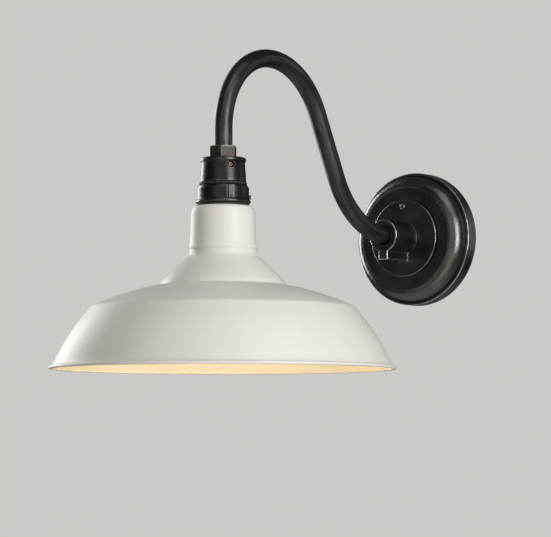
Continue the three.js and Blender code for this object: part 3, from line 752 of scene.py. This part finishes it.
# ------------------------------------------------------------------ screws
def socket_screw(name, head_r, head_h, shank_r, shank_l, drive, matrix, mat, depth=1.2, dome=0.35, seg=48):
    """Cap head on a plain shank, with a hexagonal recess. Local Z is out of the head, 0 at the seat."""
    rings, wear_and_light_rows = [], []

    def ring(r, z, w=0.0, six=0.0):
        out = []
        for s in range(seg):
            a = 2 * PI * s / seg
            k = ((a + PI / 6) % (PI / 3)) - PI / 6
            hexr = (drive / 2) / math.cos(k)
            rr = r * (1 - six) + hexr * six
            out.append((rr * math.cos(a), rr * math.sin(a), z))
        rings.append(out)
        wear_and_light_rows.append([w] * seg)

    ring(shank_r * 0.7, -shank_l)
    ring(shank_r, -shank_l + 0.4)
    ring(shank_r, -0.2)
    ring(shank_r, 0)
    ring(head_r - 0.15, 0)
    ring(head_r, 0.15, 0.4)
    ring(head_r, head_h - 0.6, 0.0)
    for k in range(5):
        a = PI / 2 * k / 4
        ring(head_r - 0.5 * (1 - math.cos(a)), head_h - 0.5 * (1 - math.sin(a)) - dome * 0.3, 0.9)
    ring(drive * 0.75, head_h, 0.9)
    ring(0, head_h, 0.8, 1.0)
    ring(0, head_h - 0.12, 0.3, 0.97)
    ring(0, head_h - depth, 0.0, 0.96)
    ring(0, head_h - depth - 0.1, 0.0, 0.3)
    return loft(name, rings, matrix, mat, wear_and_painted_light=wear_and_light_rows, sharp=40)


def grub(name, r, z0, z1, drive, matrix, mat, seg=48, depth=2.0, crown=0.0):
    rings, wear_and_light_rows = [], []

    def ring(rr, z, w=0.0, six=0.0):
        out = []
        for s in range(seg):
            a = 2 * PI * s / seg
            k = ((a + PI / 6) % (PI / 3)) - PI / 6
            q = rr * (1 - six) + (drive / 2) / math.cos(k) * six
            out.append((q * math.cos(a), q * math.sin(a), z))
        rings.append(out)
        wear_and_light_rows.append([w] * seg)

    ring(r * 0.35, z0)
    ring(r * 0.6, z0 + 0.2)
    ring(r * 0.94, z0 + r * 0.4)
    n = max(2, int((z1 - z0 - r * 0.4 - 0.8) / 0.8))
    for i in range(n + 1):
        z = z0 + r * 0.4 + (z1 - 0.6 - z0 - r * 0.4) * i / n
        ring(r if i % 2 == 0 else r * 0.93, z)
    ring(r * 0.97, z1 - 0.35, 0.4)
    ring(r * 0.86, z1, 0.8)
    for k in range(1, 4):
        # a crowned end catches the light at one spot only
        f = k / 4
        ring(r * 0.86 + (drive * 0.62 - r * 0.86) * f, z1 + crown * (1 - (1 - f) ** 2), 0.3)
    ring(0, z1 + crown, 0.6, 1.0)
    ring(0, z1 - depth, 0.0, 0.97)
    ring(0, z1 - depth - 0.1, 0.0, 0.3)
    return loft(name, rings, matrix, mat, wear_and_painted_light=wear_and_light_rows, sharp=40)


# ------------------------------------------------------------------ wall side
RING_SCREWS = (-27.2, 92.8, 212.8)
RING_SCREW_H = 7.4
SET_SCREW_H = 57.0


def bearing(deg):
    return Vector((math.cos(rad(deg)), math.sin(rad(deg)), 0))


def wall_side():
    # wall plate
    R, RH, PH, FR = 75.8, 16.5, 32.2, 59.6
    bead = []
    for i in range(23):
        a = rad(2 + i * 80 / 22)
        bead.append((FR - 1.7 + 14.0 * math.cos(a), RH - 0.7 + (PH - RH + 0.7) * math.sin(a), 0.0))
    pts = [(R, 1.9, 0.2), (R, RH, 0.9), (R - 2.9, RH, 0.7), (R - 3.9, RH - 2.2, 0.5)]
    outer = rounded([(R - 1.5, 1.9)] + pts + [bead[0][:2]], 6, 0.35)
    ridge = bead[-1]
    crest = [(ridge[0] - 0.5, PH - 0.02, 0.35), (ridge[0] - 1.0, PH - 0.12, 0.30), (ridge[0] - 1.5, PH - 0.45, 0.0), (ridge[0] - 2.4, PH - 0.62, 0.0)]
    flat = [(50, PH - 0.62, 0.0), (44.5, PH - 0.62, 0.0), (30, PH - 0.62, 0.0), (14.2, PH - 0.62, 0.0)]
    inner = [(14.2, PH - 3, 0.0)] + [
        (FR - 1.7 + 10.6 * math.cos(rad(86 * k / 8)), RH - 3 + (PH - RH) * math.sin(rad(86 * k / 8)), 0.0) for k in range(8, -1, -1)
    ] + [(R - 3.6, RH - 5, 0.0), (R - 3.6, 2.4, 0.0), (R - 3.4, 1.9, 0.0)]
    rows = outer[1:-1] + bead + crest + flat + inner
    plate = lathe("wall_plate", rows, WALL, CAST, 224, closed=True, longest=4.0)
    for deg in RING_SCREWS:
        plate = cut(plate, bar("drill", 2.3, 66, 82, WALL @ shift(0, 0, RING_SCREW_H) @ turn_to(bearing(deg)), CAST))
    plate = cut(plate, bar("drill", 2.0, 22, 36, WALL @ shift(0, 36, 0), CAST))
    done(plate, "wall_mount", "blackened_metal", "backplate")
    for i, deg in enumerate(RING_SCREWS):
        g = grub("plate_grub_screw_%d" % (i + 1), 1.95, 68.6, 73.2, 1.8, WALL @ shift(0, 0, RING_SCREW_H) @ turn_to(bearing(deg)), CAST)
        done(g, "wall_mount", "blackened_metal", "ring_set_screw_%d" % (i + 1))

    gasket = lathe("wall_seal", rounded([(70.8, 0.0, 0.3), (75.4, 0.0, 0.3), (75.4, 1.6, 0.5), (70.8, 1.6, 0.5)], 4, 0.3, True), WALL, RUBBER, 160)
    done(gasket, "wall_mount", "black_rubber", "wall_gasket")

    # mounting pan
    pan = lathe("wall_pan", rounded([(0, 0), (70, 0, 1.6), (70, 10.5, 0.4), (68.3, 10.5, 0.4), (68.3, 2, 1.2), (0, 2)], 6, 0.6), WALL, ZINC, 160, closed=False)
    for x, y, r in ((0, 27, 9), (-42, 0, 2.2), (42, 0, 2.2), (-22, -34, 2.2)):
        pan = cut(pan, bar("drill", r, -2, 4, WALL @ shift(x, y, 0), ZINC))
    done(pan, "wall_mount", "zinc_steel", "mounting_pan")

    # arm holder: raised disc and keyhole hub, one casting
    joint = 21.5
    key = []
    for i in range(41):
        a = rad(-90 + joint + i * (360 - 2 * joint) / 40)
        key.append((18.3 * math.cos(a), 18.3 * math.sin(a)))
    left = spline([key[-1], (-6.3, -17.35), (-6.07, -17.95), (-6.0, -18.8), (-6.0, -21.0), (-6.0, -24.5)], 3)[1:]
    right = [(-x, y) for x, y in left][::-1]
    key = key + left + [(-6.0, -26.4), (-5.75, -27.0), (-5.2, -27.2), (-2.6, -27.2), (0, -27.2), (2.6, -27.2), (5.2, -27.2), (5.75, -27.0), (6.0, -26.4)] + right
    cnt = len(key)
    xy = [Vector(p) for p in key]
    nrm = []
    for i in range(cnt):
        t = (xy[(i + 1) % cnt] - xy[i - 1]).normalized()
        nrm.append(Vector((t.y, -t.x)))
    rings, wear_and_light_rows = [], []

    def key_ring(inset, z, w):
        rings.append([(xy[i].x - nrm[i].x * inset, xy[i].y - nrm[i].y * inset, z) for i in range(cnt)])
        # rubbed bottom corners of the lug, and a painted highlight along the tight corner where it meets the round, on
        # the +x side only
        rubbed_and_highlit = [1.0 if (p.y < -26.2 and abs(p.x) > 5.0) else 0.55 if -18.4 < p.y < -17.2 and p.x > 0 else 0.0 for p in xy]
        wear_and_light_rows.append([max(w, lw) for lw in rubbed_and_highlit])

    def round_ring(r, z, w):
        rings.append([(r * p.normalized().x, r * p.normalized().y, z) for p in xy])
        wear_and_light_rows.append([w] * cnt)

    face, e = 76.2, 1.0
    top = 35.4
    key_ring(-0.35, top, 0.0)
    for k in range(1, 5):
        a = PI / 2 * k / 4
        key_ring(-0.35 * (1 - math.sin(a)), top + 0.35 * (1 - math.cos(a)), 0.0)
    for k in range(1, 9):
        key_ring(0, top + 2.0 + (face - e - 0.7 - top - 2.0) * k / 8, 0.0)
    for k in range(6):
        a = PI / 2 * k / 5
        key_ring(e * (1 - math.cos(a)), face - e * (1 - math.sin(a)), 1.0 if 0 < k else 0.5)
    key_ring(e + 0.5, face, 0.25)
    round_ring(14.4, face, 0.0)
    round_ring(12.2, face, 0.0)
    round_ring(11.6, face, 0.3)
    round_ring(10.6, face - 0.6, 0.3)
    round_ring(9.95, face - 1.4, 0.1)
    round_ring(9.95, 55, 0.0)
    round_ring(9.95, 36.9, 0.0)
    round_ring(7.0, 36.9, 0.0)
    round_ring(7.0, 17.2, 0.0)
    # threaded spigot behind, then the raised disc
    z = 17.2
    round_ring(12.2, z, 0.3)
    k = 0
    while z < 26.7:
        round_ring(12.8 if k % 2 else 12.3, z + 0.4, 0.0)
        z += 0.75
        k += 1
    under = 32.2 + 0.3
    round_ring(12.8, under - 0.7, 0.0)
    round_ring(12.8, under, 0.0)
    round_ring(43.4, under, 0.0)
    round_ring(44.0, under + 0.3, 0.0)
    round_ring(44.0, under + 1.3, 0.0)
    for j in range(6):
        a = PI / 2 * j / 5
        round_ring(44.0 - 0.9 * (1 - math.cos(a)), top - 0.9 * (1 - math.sin(a)), 0.4)
    round_ring(42.4, top, 0.0)
    round_ring(36, top, 0.0)
    round_ring(31, top, 0.0)
    holder = loft("arm_holder_casting", rings, WALL, CAST, closed=True, wear_and_painted_light=wear_and_light_rows, sharp=34)
    holder = cut(holder, bar("drill", 3.2, 12, 40, WALL @ shift(0, 0, SET_SCREW_H) @ turn_to((0, -1, 0)), CAST))
    holder = cut(holder, bar("drill", 2.0, 28, 42, WALL @ shift(0, 36, 0), CAST))
    done(holder, "wall_mount", "blackened_metal", "arm_holder")

    s = socket_screw("holder_screw", 3.3, 2.2, 1.6, 9, 2.9, WALL @ shift(0, 36, 35.7), CAST, 1.6)
    done(s, "wall_mount", "blackened_metal", "holder_lock_screw")
    g = grub("arm_grub_screw", 2.9, 10.1, 26.4, 2.8, WALL @ shift(0, 0, SET_SCREW_H) @ turn_to((0, -1, 0)), CAST)
    done(g, "wall_mount", "blackened_metal", "arm_set_screw")
    w = lathe("hub_washer", rounded([(13.2, 27.4, 0.3), (20.5, 27.4, 0.3), (20.5, 28.9, 0.4), (13.2, 28.9, 0.4)], 3, 0.3, True), WALL, ZINC, 96)
    done(w, "wall_mount", "zinc_steel", "holder_washer")
    nut = level(hexagon(36, 0, 0.8), 19.7, 27.1, 0.6, WALL, "hub_nut", ZINC)
    nut = cut(nut, bar("drill", 13.2, 15, 32, WALL, ZINC, 96))
    done(nut, "wall_mount", "zinc_steel", "holder_locknut")
    for nm, new, x, y, mt, sl in (
        ("box_screw_1", "pan_screw_1", -42, 0, ZINC, "zinc_steel"),
        ("box_screw_2", "pan_screw_2", 42, 0, ZINC, "zinc_steel"),
        ("ground_screw", "earth_screw", -22, -34, GREEN_SCREW, "green_screw"),
    ):
        s = socket_screw(new, 4.0, 2.6, 1.9, 2, 2.6, WALL @ shift(x, y, 2.3), mt, 1.6)
        done(s, "wall_mount", sl, nm)
    for x, nm in ((-43, "black"), (43, "white")):
        rows = rounded([(0, 9), (3.6, 9, 0.3), (4.0, 0.0, 0.4), (6.5, 0, 0.9), (6.5, 6, 1.2), (4.6, 20, 2), (0, 21.5)][::1], 4, 0.4)
        c = lathe("wire_connector_" + nm, rows, WALL @ shift(x, 14, 15.5) @ turn_to((0, 1, 0)), ORANGE, 48, closed=False)
        done(c, "wall_mount", "orange_plastic", "wire_nut_" + nm)
    for sx, mt, nm in ((-1, LEAD_BLACK, "black"), (1, LEAD_WHITE, "white")):
        pts = [(3, 0, 36.5), (3, 0, 27.2), (3.4, 0, 17.2), (9, -6, 12.2), (22, -16, 12), (35, -16, 13.2), (42, -6, 15), (43, 2, 15.5), (43, 19.3, 15.5)]
        ob = sweep("wall_lead_" + nm, spline([(sx * x, y, z) for x, y, z in pts], 7), 1.1, WALL, mt, 14)
        done(ob, "wall_mount", "lead_" + nm, "lead_%s_wall" % nm)
    g = sweep("earth_lead", spline([(0, -4.4, 33.2), (0, -4.4, 25.2), (-0.5, -6, 16.2), (-4, -14, 11), (-12, -26, 9.4), (-20, -36, 8.4), (-22, -38.6, 6.6)], 7), 1.1, WALL, LEAD_GREEN, 14)
    done(g, "wall_mount", "lead_green", "ground_lead")


# ------------------------------------------------------------------ head
RIB_AZ, CAP_SCREW_AZ, CLAMP_AZ = 56.8, 59.5, 130.0


def head():
    # socket cap
    rows = rounded(
        [
            (21, 191.2, 0.5), (23.95, 191.2, 0.7), (22.55, 211.2, 0.8), (23.1, 212.3, 0.8), (23.6, 213.2, 0.9), (23.6, 215.2, 0.9),
            (22.6, 216.5, 0.7), (9.95, 216.5, 0.6), (9.95, 203.4, 0.4), (21, 203.4, 0.8),
        ],
        6, 0.4, True,
    )
    cap = lathe("socket_cover", rows, HEAD, TURNED, 192, closed=True, longest=3.0)
    spot = HEAD @ shift(0, 0, 208.2) @ turn_to(head_dir(CAP_SCREW_AZ))
    cap = cut(cap, bar("drill", 3.4, 14, 30, spot, TURNED, 48))
    done(cap, "head", "blackened_metal", "socket_cap")
    g = grub("cover_grub_screw", 3.05, 10.3, 20.6, 2.2, spot, AGED_SHADED_BRASS, crown=0.8)
    done(g, "head", "brass", "cap_set_screw")

    # seals
    s = lathe("cover_seal", rounded([(21.2, 188.3, 0.3), (24.6, 188.3, 0.6), (24.6, 190.9, 0.6), (21.2, 190.9, 0.3)], 4, 0.3, True), HEAD, RUBBER, 128)
    done(s, "head", "black_rubber", "cap_gasket")
    s = lathe("neck_seal", rounded([(21.2, 166.9, 0.2), (27, 166.9, 0.35), (27, 168.8, 0.35), (21.2, 168.8, 0.2)], 4, 0.3, True), HEAD, RUBBER, 128)
    done(s, "head", "black_rubber", "neck_gasket")

    # locking collar
    z0, z1 = 169.1, 188.0
    rows = rounded(
        [
            (21.2, z0, 0.3), (27.3, z0, 0.8), (28.4, z0 + 1.2, 1.0), (28.4, z0 + 2.6, 1.2), (26.75, z0 + 4.9, 1.2),
            (26.75, z1 - 3.0, 1.5), (25.6, z1 - 0.7, 1.4), (24.4, z1, 0.8), (21.2, z1, 0.3),
        ],
        6, 0.4, True,
    )
    collar = lathe("shade_collar", rows, HEAD, TURNED, 192, closed=True, longest=3.0)

    def block(w, r0, r1, a0, a1, e, nm, rubbed=1.0):
        out, across = head_dir(RIB_AZ), head_dir(RIB_AZ + 90)
        m = HEAD @ Matrix(((across.x, out.x, 0, 0), (across.y, out.y, 0, 0), (0, 0, 1, 0), (0, 0, 0, 1)))
        if m.determinant() < 0:
            m = HEAD @ Matrix(((-across.x, out.x, 0, 0), (-across.y, out.y, 0, 0), (0, 0, 1, 0), (0, 0, 0, 1)))
        return level([(-w, r0, e), (w, r0, e), (w, r1, e), (-w, r1, e)], a0, a1, e, m, nm, TURNED, 4, 4, rubbed)

    collar = cut(collar, block(4.5, 25.6, 31, z0 + 4.7, z1 - 1.0, 0.25, "slot_tool", 0.0))
    collar = cut(collar, block(3.1, 23.0, 26.95, z0 + 3.0, z1 - 1.3, 0.55, "rib_tool"), "UNION")
    spot2 = HEAD @ shift(0, 0, 176) @ turn_to(head_dir(CLAMP_AZ))
    collar = cut(collar, bar("drill", 1.8, 18, 32, spot2, TURNED, 32))
    done(collar, "head", "blackened_metal", "collar")
    s = socket_screw("collar_screw", 2.5, 1.6, 1.5, 5.3, 1.8, spot2 @ shift(0, 0, 27.1), TURNED, 1.0)
    done(s, "head", "blackened_metal", "collar_lock_screw")

    # lampholder
    rows = rounded(
        [
            (0, 179), (14.7, 179, 0.8), (14.7, 141, 0.8), (19.5, 141, 1.6), (19.5, 161.1, 0.9), (27, 161.1, 0.8), (27, 165.0, 0.8),
            (20.6, 165.0, 0.6), (20.6, 203, 1.0), (13.4, 203, 0.8), (13.4, 185, 0.8), (0, 185),
        ],
        5, 0.5,
    )
    body = lathe("lampholder_porcelain", rows, HEAD, PORCELAIN, 96, closed=False)
    body = cut(body, bar("drill", 1.6, 170, 190, HEAD, PORCELAIN, 24))
    body = cut(body, bar("drill", 1.6, 170, 190, HEAD @ shift(11, 0, 0), PORCELAIN, 24))
    done(body, "head", "porcelain", "lampholder_body")
    rows = [(13.75, 145.0, 0.5), (14.35, 145.0, 0.5)]
    n = 48
    for k in range(n + 1):
        z = 145.4 + 31.6 * k / n
        rows.append((14.22 + 0.12 * math.sin(2 * PI * z / 3.63), z, 0.0))
    rows += [(14.3, 177.5, 0.3), (9.0, 177.6, 0.3), (9.0, 177.05, 0.3), (13.75, 176.95, 0.0)]
    for k in range(n, -1, -1):
        z = 145.4 + 31.2 * k / n
        rows.append((13.84 + 0.12 * math.sin(2 * PI * z / 3.63), z, 0.0))
    done(lathe("lamp_screw_shell", rows, HEAD, BRASS, 96, closed=True), "head", "brass", "screw_shell")
    rows = rounded([(0, 176.4), (4.6, 176.4, 0.5), (4.6, 178.4, 0.5), (1.3, 178.4, 0.2), (1.3, 187.4, 0.4), (0, 187.4)], 4, 0.3)
    done(lathe("contact_button", rows, HEAD, BRASS, 48, closed=False), "head", "brass", "centre_contact")
    rows = rounded([(0, 178), (1.3, 178, 0.3), (1.3, 185.3, 0.1), (2.2, 185.3, 0.3), (2.2, 186.9, 0.5), (0, 187.3)], 4, 0.3)
    done(lathe("shell_rivet_pin", rows, HEAD @ shift(11, 0, 0), BRASS, 32, closed=False), "head", "brass", "shell_rivet")
    a = sweep("head_lead_black", spline([(-3, 0, 204.1), (-3, 0, 200), (-2.4, 0, 194), (-0.4, 0, 190), (0, 0, 187.8)], 6), 1.1, HEAD, LEAD_BLACK, 14)
    done(a, "head", "lead_black", "lead_black_head")
    a = sweep("head_lead_white", spline([(3, 0, 204.1), (3.2, 0, 200), (6, 0, 195), (10.4, 0, 191), (11, 0, 187.8)], 6), 1.1, HEAD, LEAD_WHITE, 14)
    done(a, "head", "lead_white", "lead_white_head")


# ------------------------------------------------------------------ lamp
def lamp():
    rows = [(12.55, 149.05, 0.3), (12.95, 149.0, 0.5)]
    n = 60
    for k in range(n + 1):
        z = 150.2 + 20.6 * k / n
        rows.append((12.98 + 0.2 * math.sin(2 * PI * z / 3.63), z, 0.25 + 0.25 * math.sin(2 * PI * z / 3.63)))
    rows += [(12.9, 171.4, 0.2), (12.5, 172.2, 0.2), (11.6, 172.8, 0.2), (10.2, 173.0, 0.2), (10.2, 172.4, 0.0), (11.4, 172.2, 0.0), (12.3, 171.0, 0.0)]
    rows += [(12.55, 165, 0.0), (12.55, 157, 0.0)]
    done(lathe("lamp_cap", rows, HEAD, NICKEL, 96, closed=True), "bulb", "nickel_cap", "bulb_base")
    rows = rounded([(0, 171), (9.8, 171, 0.3), (9.8, 173.3, 0.6), (5.6, 175.3, 0.8), (0, 175.3)], 5, 0.4)
    done(lathe("lamp_cap_insulator", rows, HEAD, BLACK_GLASS, 64, closed=False), "bulb", "black_glass", "bulb_insulator")
    rows = rounded([(0, 175.5), (4.2, 175.5, 0.2), (3.4, 176.1, 0.3), (0, 176.1)], 5, 0.3)
    done(lathe("lamp_cap_eyelet", rows, HEAD, NICKEL, 48, closed=False), "bulb", "nickel_cap", "bulb_eyelet")
    prof = spline(
        [(12.1, 156), (12.1, 150), (12.2, 146), (13.4, 139.5), (16.5, 130), (21.2, 119.5), (25.9, 109.5), (29.0, 100.5), (30.1, 93), (29.1, 84.8),
         (25.6, 77.4), (19.6, 71.2), (12.4, 67.2), (6, 65.8), (0, 65.5)], 5)
    inner = []
    for i, (r, z) in enumerate(prof):
        a, b = prof[max(i - 1, 0)], prof[min(i + 1, len(prof) - 1)]
        d = math.hypot(b[0] - a[0], b[1] - a[1])
        inner.append((max(0.0, r + 1.1 * (b[1] - a[1]) / d), z - 1.1 * (b[0] - a[0]) / d))
    inner[-1] = (0.0, 66.6)
    rows = [(0.0, 65.5, 0)] + [(r, z, 0) for r, z in prof[::-1][1:]] + [(r, z, 0) for r, z in inner[:-1]] + [(0.0, 66.6, 0)]
    done(lathe("lamp_envelope", rows, HEAD, OPAL, 96, closed=False, longest=20), "bulb", "opal_glass", "bulb_glass")
    rows = rounded([(0, 116), (2.2, 116, 1.0), (2.2, 134, 3), (4, 145, 3), (10.3, 154, 1.0), (10.3, 155.6, 0.3), (0, 155.6)], 5, 0.5)
    done(lathe("lamp_stem", rows, HEAD, CLEAR, 48, closed=False), "bulb", "clear_glass", "bulb_stem")
    pts = spline([(-2.9, 0, 128), (-6, 0, 116), (-10, 0, 105), (-5, 4, 101.5), (0, 5.4, 103), (5, 4, 101.5), (10, 0, 105), (6, 0, 116), (2.9, 0, 128)], 6)
    done(sweep("lamp_filament", pts, 0.45, HEAD, FILAMENT, 10), "bulb", "filament_wire", "bulb_filament")


shade()
arm()
wall_side()
head()
lamp()

# ------------------------------------------------------------------ stage
FLOOR_Z = -1.6


def stage():
    m, nt, bsdf, nodes, links = material("stage_floor")
    obj = nodes.new("ShaderNodeTexCoord").outputs["Object"]
    clouds = noise(nodes, links, obj, 1.2, 3.0, 0.5)
    links.new(ramp(nodes, links, clouds, [(0.3, (0.70, 0.69, 0.67)), (0.7, (0.73, 0.72, 0.70))]), bsdf.inputs["Base Color"])
    bsdf.inputs["Roughness"].default_value = 0.85
    n, size = 24, 30.0
    verts = [((i / n - 0.5) * size, (j / n - 0.5) * size, FLOOR_Z) for j in range(n + 1) for i in range(n + 1)]
    faces = [(j * (n + 1) + i, j * (n + 1) + i + 1, (j + 1) * (n + 1) + i + 1, (j + 1) * (n + 1) + i) for j in range(n) for i in range(n)]
    me = bpy.data.meshes.new("stage_floor")
    me.from_pydata(verts, [], faces)
    me.materials.append(m)
    ob = bpy.data.objects.new("stage_floor", me)
    bpy.context.scene.collection.objects.link(ob)

    w = bpy.data.worlds.new("studio")
    bpy.context.scene.world = w
    w.use_nodes = True
    nt = w.node_tree
    nt.nodes.clear()
    out = nt.nodes.new("ShaderNodeOutputWorld")
    see, lit = nt.nodes.new("ShaderNodeBackground"), nt.nodes.new("ShaderNodeBackground")
    see.inputs["Color"].default_value = (0.60, 0.59, 0.565, 1)
    see.inputs["Strength"].default_value = 1.0
    lit.inputs["Color"].default_value = (1.0, 0.975, 0.93, 1)
    lit.inputs["Strength"].default_value = 0.10
    path = nt.nodes.new("ShaderNodeLightPath")
    mixer = nt.nodes.new("ShaderNodeMixShader")
    nt.links.new(path.outputs["Is Camera Ray"], mixer.inputs[0])
    nt.links.new(lit.outputs[0], mixer.inputs[1])
    nt.links.new(see.outputs[0], mixer.inputs[2])
    nt.links.new(mixer.outputs[0], out.inputs["Surface"])


def area(name, azimuth, height, distance, width, tall, power, color=(1, 1, 1), target=(0, -0.36, -0.02)):
    light = bpy.data.lights.new(name, "AREA")
    light.shape = "RECTANGLE"
    light.size, light.size_y = width, tall
    light.energy = power
    light.color = color
    ob = bpy.data.objects.new(name, light)
    bpy.context.scene.collection.objects.link(ob)
    t = Vector(target)
    a = rad(azimuth)
    ob.location = t + Vector((math.sin(a) * distance, -math.cos(a) * distance, height))
    ob.rotation_mode = "QUATERNION"
    ob.rotation_quaternion = (t - ob.location).to_track_quat("-Z", "Y")
    ob.visible_camera = False
    return ob


stage()
area("soft_key", 77, 0.25, 2.1, 0.85, 1.6, 27.5, (1.0, 1.0, 0.985))
area("left_soft", -98, 0.35, 2.1, 0.9, 1.5, 32.5, (1.0, 1.0, 0.97))
area("front_fill", 22, 0.35, 2.1, 1.8, 1.8, 6.2, (1.0, 0.985, 0.93))
area("wall_bounce", 145, 0.35, 2.1, 0.9, 1.5, 2.4, (1.0, 0.96, 0.88))
area("top_right", 60, 1.9, 1.2, 1.8, 1.8, 10.5, (1.0, 1.0, 0.97))
area("floor_bounce", 40, -1.3, 1.4, 1.6, 1.6, 7.5, (1.0, 0.90, 0.72))
area("left_edge", -112, 0.45, 1.1, 0.25, 0.9, 1.0, (1.0, 1.0, 1.0), (0, -0.36, 0.05))
area("glint", 79, -0.05, 2.1, 0.22, 0.30, 3.0, (1.0, 0.99, 0.96))

cam_data = bpy.data.cameras.new("camera")
cam = bpy.data.objects.new("camera", cam_data)
bpy.context.scene.collection.objects.link(cam)
cam_data.sensor_fit = "HORIZONTAL"
cam_data.sensor_width = 36.0
cam_data.lens = 2400.0 / 551.0 * 36.0
cam_data.clip_start, cam_data.clip_end = 0.05, 200.0
CAM_AZ, CAM_EL = rad(37.3), rad(-4.2)
back = Vector((math.sin(CAM_AZ) * math.cos(CAM_EL), -math.cos(CAM_AZ) * math.cos(CAM_EL), math.sin(CAM_EL)))
cam.location = (1.5338, -2.2888, -0.2346)
cam.rotation_mode = "QUATERNION"
cam.rotation_quaternion = (-back).to_track_quat("-Z", "Y")
bpy.context.scene.camera = cam

bpy.context.scene.view_settings.view_transform = "Standard"
bpy.context.scene.view_settings.look = "None"
bpy.context.scene.view_settings.exposure = 0.0
bpy.context.scene.view_settings.gamma = 1.0
